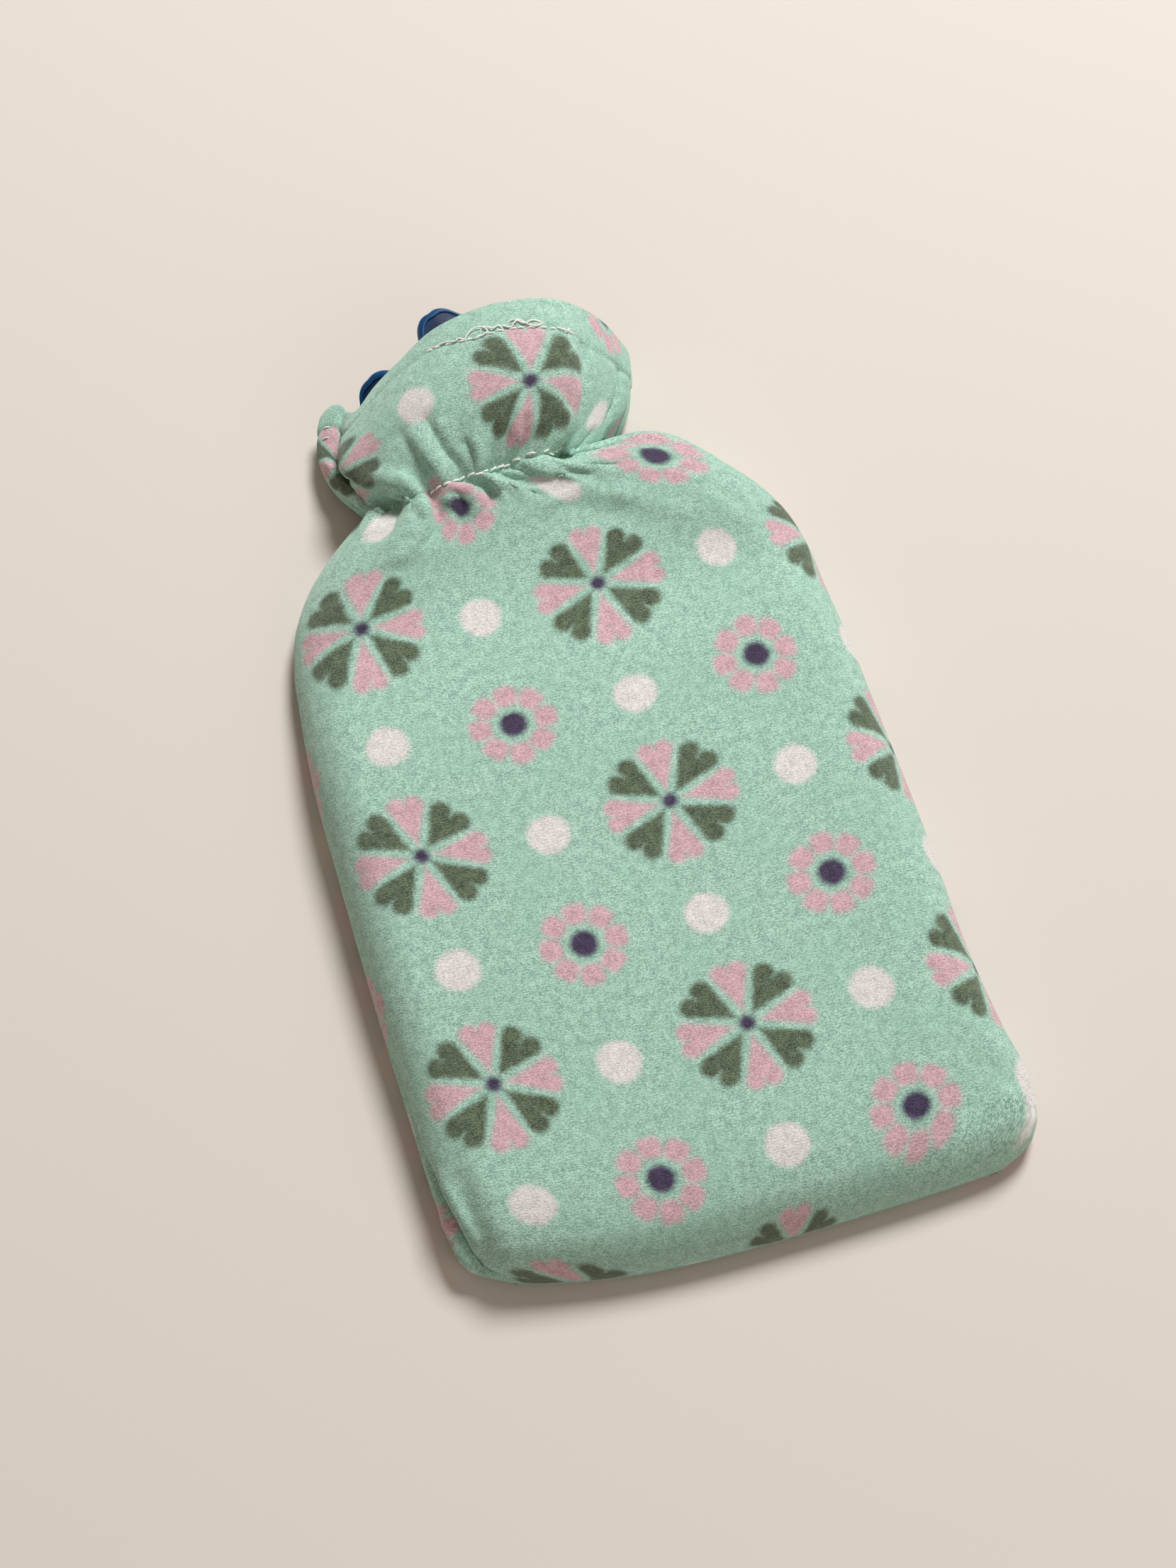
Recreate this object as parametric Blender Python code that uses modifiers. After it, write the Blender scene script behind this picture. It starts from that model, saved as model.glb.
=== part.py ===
"""Hot water bottle lying on its back in a gathered cloth cover.

Two cloth panels, front and back, are sewn together along the sides and the
bottom edge.  Elastic draws them in at the neck, and above it they open into a
ruffled collar with a turned hem.  The rubber bottle inside shows at the mouth.

Units in this file are millimetres until the meshes are made, in a work frame
with x across, y from the bottom edge towards the neck and z up from the rest.
"""

import math

import bmesh
import bpy
import numpy as np
from mathutils import Vector

MM = 0.001

# Cloth
CLOTH_T = 1.7           # thickness of the brushed cloth
REST_Z = CLOTH_T / 2    # middle of the back panel where it lies flat
SEAM_GAP = 0.25         # trimmed off each panel's edge along the seams
LAP_GAP = 0.15          # kept between them where one lies on the other
LAP_FADE = 6.0          # how far in from the seams that reaches
BOTTOM_ROLL = 13.0      # depth of the rounding at the bottom edge, in y
GATHER_V = 292.0        # cloth position of the elastic, measured from the bottom
COLLAR_V = 322.0        # and of the collar's middle
HEM_V = 354.0           # and of the hem's folded edge
COLLAR_HALF = 97.0      # half width of one panel along the hem

# Cover outline as it lies: y, left x, right x, seam height, side roll, crown
#   side roll is how far in from the seam the front reaches its full height
OUTLINE_COLUMNS = ("y", "left", "right", "seam_z", "roll", "crown")
OUTLINE = (
    (0.0, -78.0, 80.0, 4.0, 20.0, 12.5),
    (4.0, -88.0, 89.5, 4.4, 18.0, 15.0),
    (10.0, -91.8, 95.0, 4.9, 17.0, 18.0),
    (18.0, -93.2, 97.8, 5.4, 16.0, 20.8),
    (30.0, -94.3, 98.4, 5.8, 15.5, 23.0),
    (46.0, -95.3, 96.4, 6.1, 15.0, 24.3),
    (70.0, -96.1, 94.6, 6.4, 15.0, 25.1),
    (110.0, -97.5, 95.0, 6.5, 15.0, 25.6),
    (155.0, -98.2, 95.4, 6.5, 15.0, 25.6),
    (195.0, -98.4, 95.2, 6.5, 15.5, 25.2),
    (222.0, -96.6, 94.6, 6.5, 18.0, 24.0),
    (242.0, -94.2, 94.0, 6.5, 23.0, 23.4),
    (257.0, -89.5, 90.0, 6.5, 29.0, 25.0),
    (269.0, -81.0, 81.0, 6.5, 35.0, 27.4),
    (279.0, -70.0, 66.0, 6.6, 38.0, 30.0),
    (286.0, -61.5, 46.0, 6.8, 38.0, 32.2),
    (292.0, -55.0, 26.0, 7.0, 38.0, 33.0),
)

# Collar, one row per fold: panel, cloth position across, middle point and hem
# point.  Front rows run left to right, back rows right to left.
COLLAR_COLUMNS = ("panel", "u", "mid_x", "mid_y", "mid_z", "hem_x", "hem_y", "hem_z")
COLLAR = (
    ("front", -97.0, -63.8, 315.0, 4.8, -60.5, 335.0, 5.2),    # left seam
    ("front", -84.0, -65.0, 315.5, 9.5, -60.5, 340.5, 9.5),    # left flap
    ("front", -74.0, -62.5, 313.5, 12.0, -55.0, 342.0, 12.0),
    ("front", -66.0, -59.0, 309.5, 13.5, -52.2, 338.0, 12.0),  # valley behind the lobe
    ("front", -59.0, -61.0, 305.5, 22.0, -49.8, 331.5, 20.0),  # lobe's left edge
    ("front", -46.0, -49.0, 308.0, 31.5, -40.5, 337.5, 24.5),
    ("front", -28.0, -31.5, 313.5, 40.0, -29.3, 341.6, 31.0),
    ("front", -10.0, -12.5, 314.5, 44.5, -14.0, 346.6, 38.5),
    ("front", 8.0, 5.5, 313.0, 46.5, 6.5, 348.5, 42.5),        # top of the main lobe
    ("front", 26.0, 23.5, 311.5, 44.0, 26.0, 347.0, 41.0),
    ("front", 42.0, 32.0, 309.0, 31.5, 38.5, 345.0, 33.5),     # valley
    ("front", 58.0, 38.5, 309.0, 26.5, 46.5, 340.0, 27.5),     # right lobe
    ("front", 75.0, 44.5, 308.5, 19.0, 52.0, 334.5, 20.5),
    ("front", 97.0, 42.5, 307.5, 9.5, 53.5, 336.5, 15.0),      # right seam
    ("back", 84.0, 45.5, 311.0, 4.8, 55.5, 339.5, 8.5),
    ("back", 62.0, 38.0, 313.0, 1.6, 47.0, 341.0, 2.2),
    ("back", 30.0, 20.0, 318.0, 0.9, 26.0, 348.0, 1.0),
    ("back", 0.0, -6.0, 319.0, 0.9, -4.0, 350.0, 1.0),
    ("back", -38.0, -33.0, 314.0, 0.9, -35.0, 343.0, 1.0),
    ("back", -72.0, -53.0, 312.0, 1.4, -53.0, 338.0, 1.6),
)

# Folds drawn in by the elastic, one row per fold: cloth position at the
# elastic, half width there, height (a valley is negative), reach down into the
# body, reach up into the collar, and drift across per mm each way.
PLEAT_COLUMNS = ("u", "half_width", "height", "down", "up", "drift_down", "drift_up")
PLEATS = (
    (-66.0, 7.0, 2.0, 34.0, 26.0, 0.10, 0.0),
    (-54.0, 6.0, -2.6, 30.0, 30.0, -0.35, -0.10),
    (-43.0, 6.5, 2.4, 32.0, 30.0, -0.45, -0.15),
    (-32.0, 5.5, -2.6, 26.0, 34.0, -0.10, -0.45),
    (-21.0, 6.0, 1.8, 20.0, 26.0, 0.05, -0.30),
    (-12.0, 4.5, -2.0, 22.0, 24.0, 0.40, -0.30),
    (-3.0, 5.0, 1.6, 26.0, 18.0, 0.45, -0.10),
    (6.0, 4.5, -2.0, 20.0, 20.0, 0.45, -0.05),
    (17.0, 6.0, -2.4, 30.0, 14.0, 0.75, 0.05),
    (30.0, 7.5, 2.6, 36.0, 22.0, 0.55, 0.10),
    (44.0, 7.0, -2.8, 30.0, 46.0, 0.60, 0.12),
    (60.0, 9.0, 2.4, 38.0, 26.0, 0.35, 0.10),
    (80.0, 9.0, -2.0, 30.0, 30.0, 0.20, 0.05),
)

# Soft waves over the body's front: centre x and y, reach along and across,
# direction of the long way in degrees from x, height.
WAVE_COLUMNS = ("x", "y", "long", "short", "angle", "height")
WAVES = (
    (45.0, 232.0, 70.0, 17.0, 3.0, -2.4),
    (-40.0, 246.0, 45.0, 14.0, 22.0, -1.2),
    (66.0, 256.0, 34.0, 10.0, -28.0, 1.8),
    (70.0, 120.0, 90.0, 8.0, 88.0, 0.7),
    (20.0, 60.0, 80.0, 26.0, 10.0, -0.7),
    (-30.0, 130.0, 60.0, 30.0, -35.0, 0.6),
    (-86.0, 26.0, 20.0, 4.0, 92.0, -3.6),     # crease inside the left corner
    (80.0, 30.0, 26.0, 9.0, 62.0, -1.8),      # slack corner on the right
)

# Cloth bulging up beside the neck: x, half width, rise along y
SHOULDER_COLUMNS = ("x", "half_width", "rise")
SHOULDERS = (
    (54.0, 24.0, 11.0),
    (-40.0, 16.0, -3.5),
)

# The bottom edge is drawn up from the outline's first row, at its corners the most
CORNER_LIFT = dict(middle=3.4, left=14.0, right=2.5, half=90.0, fades=70.0)

# Grid of the panels: cloth rows along v, and columns across
ROWS = (
    -13.0, -7.0, -0.5, 6.0, 13.0, 22.0, 34.0, 52.0, 80.0, 112.0, 146.0, 180.0, 206.0, 224.0,
    238.0, 250.0, 260.0, 268.0, 275.0, 281.0, 285.5, 289.0, 292.0,
    296.0, 301.0, 307.0, 314.0, 321.5, 329.5, 337.0, 343.0, 348.5, 352.5, 354.0,
)
COLUMNS = dict(front=36, back=26)

# Bottle, one row per section: y, centre x, centre z, half width, half height
BOTTLE_COLUMNS = ("y", "x", "z", "half_width", "half_height")
BOTTLE = (
    (12.0, 1.0, 8.4, 56.0, 2.4),
    (14.0, 1.0, 8.8, 64.0, 3.8),
    (20.0, 1.0, 10.0, 75.0, 6.0),
    (31.0, 1.0, 11.4, 83.0, 8.0),
    (60.0, 0.0, 12.4, 87.5, 9.8),
    (120.0, 0.0, 12.4, 88.0, 9.9),
    (180.0, -1.0, 12.2, 88.0, 9.4),
    (212.0, -1.5, 11.2, 85.0, 8.2),
    (236.0, -2.0, 10.9, 76.0, 7.7),
    (251.0, -4.0, 11.6, 60.0, 8.2),
    (262.0, -6.0, 13.0, 42.0, 8.8),
    (271.0, -8.0, 14.4, 29.0, 9.4),
    (281.0, -9.5, 15.6, 22.5, 9.8),
    (292.0, -10.5, 16.2, 20.5, 9.8),
)
MOUTH_CENTRE = (-23.9, 345.1, 21.5)
MOUTH_ACROSS = (0.880, 0.330, 0.340)
MOUTH_AXIS = (-0.370, 0.923, 0.060)
MOUTH_HALF = (27.6, 8.4)     # half width ear to ear, and half depth
EAR_RISE = (3.0, 7.0)        # the left and right ears stand above the mouth's middle
LIP_DIP = 8.0                # and the front and back lips dip below it
RUBBER_T = 2.2
NECK_GAP = 0.4               # between the moulded mouth and the bottle's body
BEAD_R = 1.8
SECTION_POINTS = 48


def table(rows, column, columns, at):
    """The named column of a table at each place, through its rows smoothly."""
    knots = np.array([row[0] for row in rows])
    values = np.array([row[columns.index(column)] for row in rows])
    slopes = np.gradient(values, knots)
    at = np.clip(at, knots[0], knots[-1])
    i = np.clip(np.searchsorted(knots, at) - 1, 0, len(knots) - 2)
    step = knots[i + 1] - knots[i]
    t = (at - knots[i]) / step
    return (
        (2 * t**3 - 3 * t**2 + 1) * values[i]
        + (t**3 - 2 * t**2 + t) * step * slopes[i]
        + (3 * t**2 - 2 * t**3) * values[i + 1]
        + (t**3 - t**2) * step * slopes[i + 1]
    )


def smooth(edge0, edge1, x):
    """0 below edge0, 1 above edge1, and an even S between."""
    t = np.clip((x - edge0) / (edge1 - edge0), 0.0, 1.0)
    return t * t * (3 - 2 * t)


def outline(column, y):
    """A column of the cover's outline at y."""
    return table(OUTLINE, column, OUTLINE_COLUMNS, y)


def side(s, flat, roll, height):
    """Distance out and height above the seam, at arc length s from the middle."""
    arc = math.pi / 2 * np.sqrt((roll**2 + height**2) / 2) + 1e-6
    turn = np.clip((s - flat) / arc, 0.0, 1.0) * math.pi / 2
    out = np.where(s <= flat, s, flat + roll * np.sin(turn))
    return out, height * np.cos(turn)


def section_length(flat, roll, height):
    """Arc length from the middle of a section to its seam."""
    return flat + math.pi / 2 * np.sqrt((roll**2 + height**2) / 2)


def body(p, v):
    """Middle of the cloth below the elastic.

    p runs round the cover: 0 to 1 over the front from the left seam to the
    right one, 1 to 2 back underneath.
    """
    turn = np.clip((v + BOTTOM_ROLL) / (2 * BOTTOM_ROLL), 0.0, 1.0) * math.pi / 2
    y = np.where(v < BOTTOM_ROLL, BOTTOM_ROLL * (1 - np.cos(turn)), v)
    rise = np.where(v < BOTTOM_ROLL, np.sin(turn), 1.0)
    left, right = outline("left", y), outline("right", y)
    seam, roll, crown = outline("seam_z", y), outline("roll", y), outline("crown", y)
    middle, half = (left + right) / 2, (right - left) / 2

    on_front = p <= 1.0
    across = np.where(on_front, 2 * p - 1, 3 - 2 * p)
    roll = np.minimum(np.where(on_front, roll, 4.0 + 0.5 * roll), half)
    height = np.where(on_front, crown - seam, seam - REST_Z) * rise
    flat = half - roll
    out, up = side(np.abs(across) * section_length(flat, roll, height), flat, roll, height)
    x = middle + np.sign(across) * out
    z = np.where(on_front, seam + up, seam - up)

    # The elastic leans: its top lies nearer the bottom than its underside
    y = y + smooth(250.0, GATHER_V, v) * (1.0 - 6.0 * (z - 17.0) / 16.0)
    for at, wide, amount in SHOULDERS:
        y = y + amount * np.exp(-(((x - at) / wide) ** 2)) * smooth(238.0, 284.0, v)
    # The corners of the bottom edge lie further up
    lift = np.where(x < 0, CORNER_LIFT["left"], CORNER_LIFT["right"])
    lift = CORNER_LIFT["middle"] + lift * (np.abs(x) / CORNER_LIFT["half"]) ** 2.4
    y = y + lift * np.clip(1 - y / CORNER_LIFT["fades"], 0.0, 1.0) ** 2

    # Soft waves, on the front only
    wave = np.zeros_like(x)
    for wx, wy, long, short, angle, amount in WAVES:
        c, s = math.cos(math.radians(angle)), math.sin(math.radians(angle))
        along = ((x - wx) * c + (y - wy) * s) / long
        over = ((y - wy) * c - (x - wx) * s) / short
        wave += amount * np.exp(-(along**2) - over**2)
    full = np.where(on_front, up / np.maximum(crown - seam, 1.0), 0.0)
    return np.stack([x, y, z + wave * full**0.7], -1)


def ring(columns, p):
    """A closed curve through the collar's rows, at each p round the cover."""
    knots, points = [], []
    for row in COLLAR:
        across = row[1] / COLLAR_HALF
        knots.append((across + 1) / 2 if row[0] == "front" else (3 - across) / 2)
        points.append([row[COLLAR_COLUMNS.index(name)] for name in columns])
    n = len(knots)
    knots = [k - 2 for k in knots[-3:]] + knots + [k + 2 for k in knots[:3]]
    points = np.array(points[-3:] + points + points[:3])
    knots = np.array(knots)
    slopes = np.gradient(points, knots, axis=0)
    i = np.clip(np.searchsorted(knots, p, side="right") - 1, 0, n + 4)
    step = (knots[i + 1] - knots[i])[..., None]
    t = (p - knots[i])[..., None] / step
    return (
        (2 * t**3 - 3 * t**2 + 1) * points[i]
        + (t**3 - 2 * t**2 + t) * step * slopes[i]
        + (3 * t**2 - 2 * t**3) * points[i + 1]
        + (t**3 - t**2) * step * slopes[i + 1]
    )


def collar(p, v):
    """Middle of the cloth above the elastic, through its ring and two more."""
    start = body(p, np.full_like(p, GATHER_V))
    middle = ring(("mid_x", "mid_y", "mid_z"), p)
    hem = ring(("hem_x", "hem_y", "hem_z"), p)
    s = ((v - GATHER_V) / (HEM_V - GATHER_V))[..., None]
    m = (COLLAR_V - GATHER_V) / (HEM_V - GATHER_V)
    return (
        start * (s - m) * (s - 1) / m
        + middle * s * (s - 1) / (m * (m - 1))
        + hem * s * (s - m) / (1 - m)
    )


def pleats(u, v):
    """Height of the elastic's folds over the cloth."""
    total = np.zeros_like(u)
    above = v > GATHER_V
    away = np.abs(v - GATHER_V)
    for centre, half, height, down, up, drift_down, drift_up in PLEATS:
        reach = np.where(above, up, down)
        drift = np.where(above, drift_up, drift_down) * away
        fade = np.clip(1 - (away / reach) ** 2, 0.0, 1.0) ** 1.5
        wide = half * (1 + 0.9 * away / reach)
        total += height * fade * np.exp(-(((u - centre - drift) / wide) ** 2))
    return total


def normals(points):
    """Unit normals of a grid of points, by its neighbours."""
    along = np.gradient(points, axis=0)
    across = np.gradient(points, axis=1)
    n = np.cross(across, along)
    return n / np.maximum(np.linalg.norm(n, axis=-1, keepdims=True), 1e-9)


def cloth(p, v):
    """Middle of the cloth at each p and v of a grid that stays on one panel."""
    points = np.where((v <= GATHER_V)[..., None], body(p, np.minimum(v, GATHER_V)),
                      collar(p, np.maximum(v, GATHER_V)))
    u = np.where(p <= 1.0, 2 * p - 1, 3 - 2 * p) * COLLAR_HALF
    front = np.where(p <= 1.0, 1.0, -1.0)
    amount = np.where(front > 0, pleats(u, v), 0.0)
    amount = amount * smooth(0.0, 10.0, COLLAR_HALF - np.abs(u))
    n = normals(points)
    points = points + n * amount[..., None]
    # Where the panels meet flat rather than edge to edge, one lies on the other
    near = np.exp(-np.minimum(COLLAR_HALF - np.abs(u), v + BOTTOM_ROLL) / LAP_FADE)
    lap = np.maximum(smooth(0.25, 0.8, np.abs(n[..., 2])), smooth(270.0, 288.0, v))
    points[..., 2] += front * near * (LAP_GAP + CLOTH_T / 2 * lap)
    points[..., 2] = np.maximum(points[..., 2], REST_Z)
    return points


def orthonormal():
    """Across, over and along directions of the bottle's mouth."""
    across = np.array(MOUTH_ACROSS)
    across = across / np.linalg.norm(across)
    axis = np.array(MOUTH_AXIS)
    axis = axis - across * axis.dot(across)
    axis = axis / np.linalg.norm(axis)
    return across, np.cross(across, axis), axis


def bottle_sections():
    """Closed loops of the bottle's skin, for its body and for its mouth.

    The mouth's run up its outside, over the bead and down its inside.
    """
    turn = np.linspace(0, 2 * math.pi, SECTION_POINTS, endpoint=False)
    across, over, axis = orthonormal()
    up = np.array([0.0, 0.0, 1.0])
    right = np.array([1.0, 0.0, 0.0])

    def loop(centre, e1, e2, half, depth, power):
        c, s = np.cos(turn), np.sin(turn)
        x = np.sign(c) * np.abs(c) ** (2 / power) * half
        z = np.sign(s) * np.abs(s) ** (2 / power) * depth
        return np.array(centre) + x[:, None] * e1 + z[:, None] * e2

    slab = []
    for y, x, z, half, depth in BOTTLE:
        # A slab's ends are squarer than the neck
        power = 2.0 + 1.4 * min(1.0, max(0.0, (half - 22.0) / 40.0))
        slab.append(loop((x, y, z), right, up, half, depth, power))

    # Neck to mouth: the section turns, leans and flares
    start = np.array([BOTTLE[-1][1], BOTTLE[-1][0], BOTTLE[-1][2]])
    end = np.array(MOUTH_CENTRE)
    bend = start + np.array([0.0, 22.0, 2.0])
    steps = 9
    wide = np.abs(np.cos(turn))
    ear = smooth(0.04, 0.5, wide) * (1 - 0.62 * smooth(0.72, 1.0, wide))
    rise = np.where(np.cos(turn) < 0, EAR_RISE[0], EAR_RISE[1])
    saddle = (rise + LIP_DIP) * ear - LIP_DIP

    def mouth_loop(t, shrink):
        centre = (1 - t) ** 2 * start + 2 * t * (1 - t) * bend + t * t * end
        blend = float(smooth(0.0, 1.0, t))
        e1 = right * (1 - blend) + across * blend
        e2 = up * (1 - blend) + over * blend
        half = BOTTLE[-1][3] + (MOUTH_HALF[0] - BOTTLE[-1][3]) * t**2.0 - shrink
        depth = BOTTLE[-1][4] + (MOUTH_HALF[1] - BOTTLE[-1][4]) * t**2.0 - shrink
        flat = loop(centre, e1 / np.linalg.norm(e1), e2 / np.linalg.norm(e2), half, depth, 2.0)
        return flat + (saddle * t**3)[:, None] * axis

    outside = [slab[-1] + np.array([0.0, NECK_GAP, 0.0])]
    for k in range(1, steps + 1):
        outside.append(mouth_loop(k / steps, 0.0))

    # The bead rolls over the rim from the outside to the inside
    rim = outside[-1]
    centre = rim.mean(0)
    away = rim - centre
    away = away - (away @ axis)[:, None] * axis
    away = away / np.linalg.norm(away, axis=1, keepdims=True)
    core = rim - away * RUBBER_T / 2 + axis * BEAD_R * 0.6
    bead = []
    for degrees in (-35.0, 15.0, 60.0, 100.0, 140.0, 185.0, 220.0):
        a = math.radians(degrees)
        bead.append(core + BEAD_R * (math.cos(a) * away + math.sin(a) * axis))

    inside = [mouth_loop(k / steps, RUBBER_T) for k in range(steps - 1, 0, -1)]
    return slab, outside + bead + inside


def mesh_object(name, points, faces, material, collection):
    """An object from points in millimetres, with its normals outwards."""
    mesh = bpy.data.meshes.new(name)
    mesh.from_pydata([Vector(p) * MM for p in points], [], faces)
    ob = bpy.data.objects.new(name, mesh)
    ob.data.materials.append(material)
    collection.objects.link(ob)
    bm = bmesh.new()
    bm.from_mesh(mesh)
    bmesh.ops.recalc_face_normals(bm, faces=bm.faces)
    bm.to_mesh(mesh)
    bm.free()
    return ob


def material(name, colour, roughness):
    """A plain Principled material."""
    made = bpy.data.materials.new(name)
    made.use_nodes = True
    shader = made.node_tree.nodes["Principled BSDF"]
    shader.inputs["Base Color"].default_value = (*colour, 1.0)
    shader.inputs["Roughness"].default_value = roughness
    shader.inputs["Metallic"].default_value = 0.0
    return made


def centre():
    """The middle of the work frame's outline, which becomes the origin."""
    v, p = np.meshgrid(ROWS, np.linspace(0, 1, COLUMNS["front"] + 1), indexing="ij")
    mouth = np.concatenate(bottle_sections()[1])
    points = np.concatenate([cloth(p, v).reshape(-1, 3), mouth])
    return np.append((points.min(0) + points.max(0))[:2] / 2, 0.0)


def panel(name, columns, first, fabric, collection, origin):
    """One cloth panel, a grid from seam to seam thickened both ways."""
    p = first + np.linspace(1e-6, 1 - 1e-6, columns + 1)
    v = np.array(ROWS)
    grid_v, grid_p = np.meshgrid(v, p, indexing="ij")
    points = cloth(grid_p, grid_v)

    # Trim the sides and the bottom, so that the panels' edges don't touch
    for edge, inner in ((np.s_[:, 0], np.s_[:, 1]), (np.s_[:, -1], np.s_[:, -2]),
                        (np.s_[0], np.s_[1])):
        way = points[inner] - points[edge]
        length = np.linalg.norm(way, axis=1, keepdims=True)
        points[edge] += way / np.maximum(length, 1e-6) * SEAM_GAP
    points -= origin

    wide = columns + 1
    faces = []
    for i in range(len(v) - 1):
        for j in range(columns):
            a = i * wide + j
            faces.append((a, a + 1, a + wide + 1, a + wide))
    ob = mesh_object(name, points.reshape(-1, 3), faces, fabric, collection)
    solid = ob.modifiers.new("Thickness", "SOLIDIFY")
    solid.thickness = CLOTH_T * MM
    solid.offset = 0.0
    solid.use_even_offset = False
    solid.use_rim = True
    return ob


def skin(name, loops, rubber, collection, origin):
    """A closed skin through loops, from the first one's cap to the last one's."""
    n = SECTION_POINTS
    faces = [tuple(range(n))]
    for k in range(len(loops) - 1):
        for j in range(n):
            a, b = k * n + j, k * n + (j + 1) % n
            faces.append((a, b, b + n, a + n))
    faces.append(tuple((len(loops) - 1) * n + j for j in range(n)))
    return mesh_object(name, np.concatenate(loops) - origin, faces, rubber, collection)


def build():
    for ob in list(bpy.data.objects):
        bpy.data.objects.remove(ob, do_unlink=True)
    collection = bpy.data.collections.new("hot_water_bottle")
    bpy.context.scene.collection.children.link(collection)
    fabric = material("mint_fleece", (0.36, 0.68, 0.52), 0.95)
    backing = material("mint_fleece_back", (0.34, 0.65, 0.50), 0.95)
    rubber = material("blue_rubber", (0.004, 0.045, 0.20), 0.35)
    lip = material("blue_rubber_mouth", (0.004, 0.045, 0.20), 0.30)
    origin = centre()
    panel("front_panel", COLUMNS["front"], 0.0, fabric, collection, origin)
    panel("back_panel", COLUMNS["back"], 1.0, backing, collection, origin)
    body_loops, mouth_loops = bottle_sections()
    skin("bottle_body", body_loops, rubber, collection, origin)
    skin("bottle_mouth", mouth_loops, lip, collection, origin)


build()
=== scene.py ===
"""Looks for the hot water bottle in its gathered fleece cover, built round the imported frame.

The cover's two panels are remade finer than the CAD solids from the same tables, with the
elastic's small folds, the turned hem and the stitches.  The print is drawn by the material
from the cloth's own coordinates, so it follows every fold.
"""

import math

import bmesh
import bpy
import numpy as np
from mathutils import Matrix, Vector


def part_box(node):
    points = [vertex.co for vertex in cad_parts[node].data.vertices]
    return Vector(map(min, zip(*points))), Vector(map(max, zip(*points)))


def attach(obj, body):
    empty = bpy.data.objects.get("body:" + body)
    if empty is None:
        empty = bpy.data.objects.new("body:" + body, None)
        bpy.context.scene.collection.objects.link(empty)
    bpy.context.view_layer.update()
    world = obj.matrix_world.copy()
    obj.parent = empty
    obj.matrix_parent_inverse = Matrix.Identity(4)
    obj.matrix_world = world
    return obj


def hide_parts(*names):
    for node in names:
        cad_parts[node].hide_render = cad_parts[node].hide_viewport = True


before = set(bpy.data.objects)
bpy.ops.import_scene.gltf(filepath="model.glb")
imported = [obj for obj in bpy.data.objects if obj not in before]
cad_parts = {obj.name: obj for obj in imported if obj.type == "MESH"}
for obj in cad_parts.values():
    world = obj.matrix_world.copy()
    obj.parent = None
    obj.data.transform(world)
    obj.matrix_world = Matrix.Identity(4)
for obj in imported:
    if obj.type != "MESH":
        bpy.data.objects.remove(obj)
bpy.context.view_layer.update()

MM = 0.001

# Cloth
CLOTH_T = 1.7           # thickness of the brushed cloth
REST_Z = CLOTH_T / 2    # middle of the back panel where it lies flat
LAP_GAP = 0.15          # kept between the panels where one lies on the other
LAP_FADE = 6.0          # how far in from the seams that reaches
LAP_FLAT = (0.25, 0.8)  # they lap where their normals stand up this much
LAP_ROWS = (270.0, 288.0)       # and above these cloth rows
BOTTOM_ROLL = 13.0      # depth of the rounding at the bottom edge, in y
GATHER_V = 292.0        # cloth position of the elastic, measured from the bottom
COLLAR_V = 322.0        # and of the collar's middle
HEM_V = 354.0           # and of the hem's folded edge
COLLAR_HALF = 97.0      # half width of one panel along the hem
FRONT, BACK = 0.0, 1.0  # where each panel starts on the way round the cover
BACK_ROLL = (4.0, 0.5)  # the back's side roll: this, plus a share of the front's
# The elastic's top lies nearer the bottom than its underside: from the start row up, the
# cloth moves this far along y at its middle height, and less where it lies higher
LEAN = dict(start=250.0, middle=17.0, shift=1.0, less=6.0, height=16.0)

# Cover outline as it lies: y, left x, right x, seam height, side roll, crown
#   side roll is how far in from the seam the front reaches its full height
OUTLINE = (
    (0.0, -78.0, 80.0, 4.0, 20.0, 12.5),
    (4.0, -88.0, 89.5, 4.4, 18.0, 15.0),
    (10.0, -91.8, 95.0, 4.9, 17.0, 18.0),
    (18.0, -93.2, 97.8, 5.4, 16.0, 20.8),
    (30.0, -94.3, 98.4, 5.8, 15.5, 23.0),
    (46.0, -95.3, 96.4, 6.1, 15.0, 24.3),
    (70.0, -96.1, 94.6, 6.4, 15.0, 25.1),
    (110.0, -97.5, 95.0, 6.5, 15.0, 25.6),
    (155.0, -98.2, 95.4, 6.5, 15.0, 25.6),
    (195.0, -98.4, 95.2, 6.5, 15.5, 25.2),
    (222.0, -96.6, 94.6, 6.5, 18.0, 24.0),
    (242.0, -94.2, 94.0, 6.5, 23.0, 23.4),
    (257.0, -89.5, 90.0, 6.5, 29.0, 25.0),
    (269.0, -81.0, 81.0, 6.5, 35.0, 27.4),
    (279.0, -70.0, 66.0, 6.6, 38.0, 30.0),
    (286.0, -61.5, 46.0, 6.8, 38.0, 32.2),
    (292.0, -55.0, 26.0, 7.0, 38.0, 33.0),
)

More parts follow.
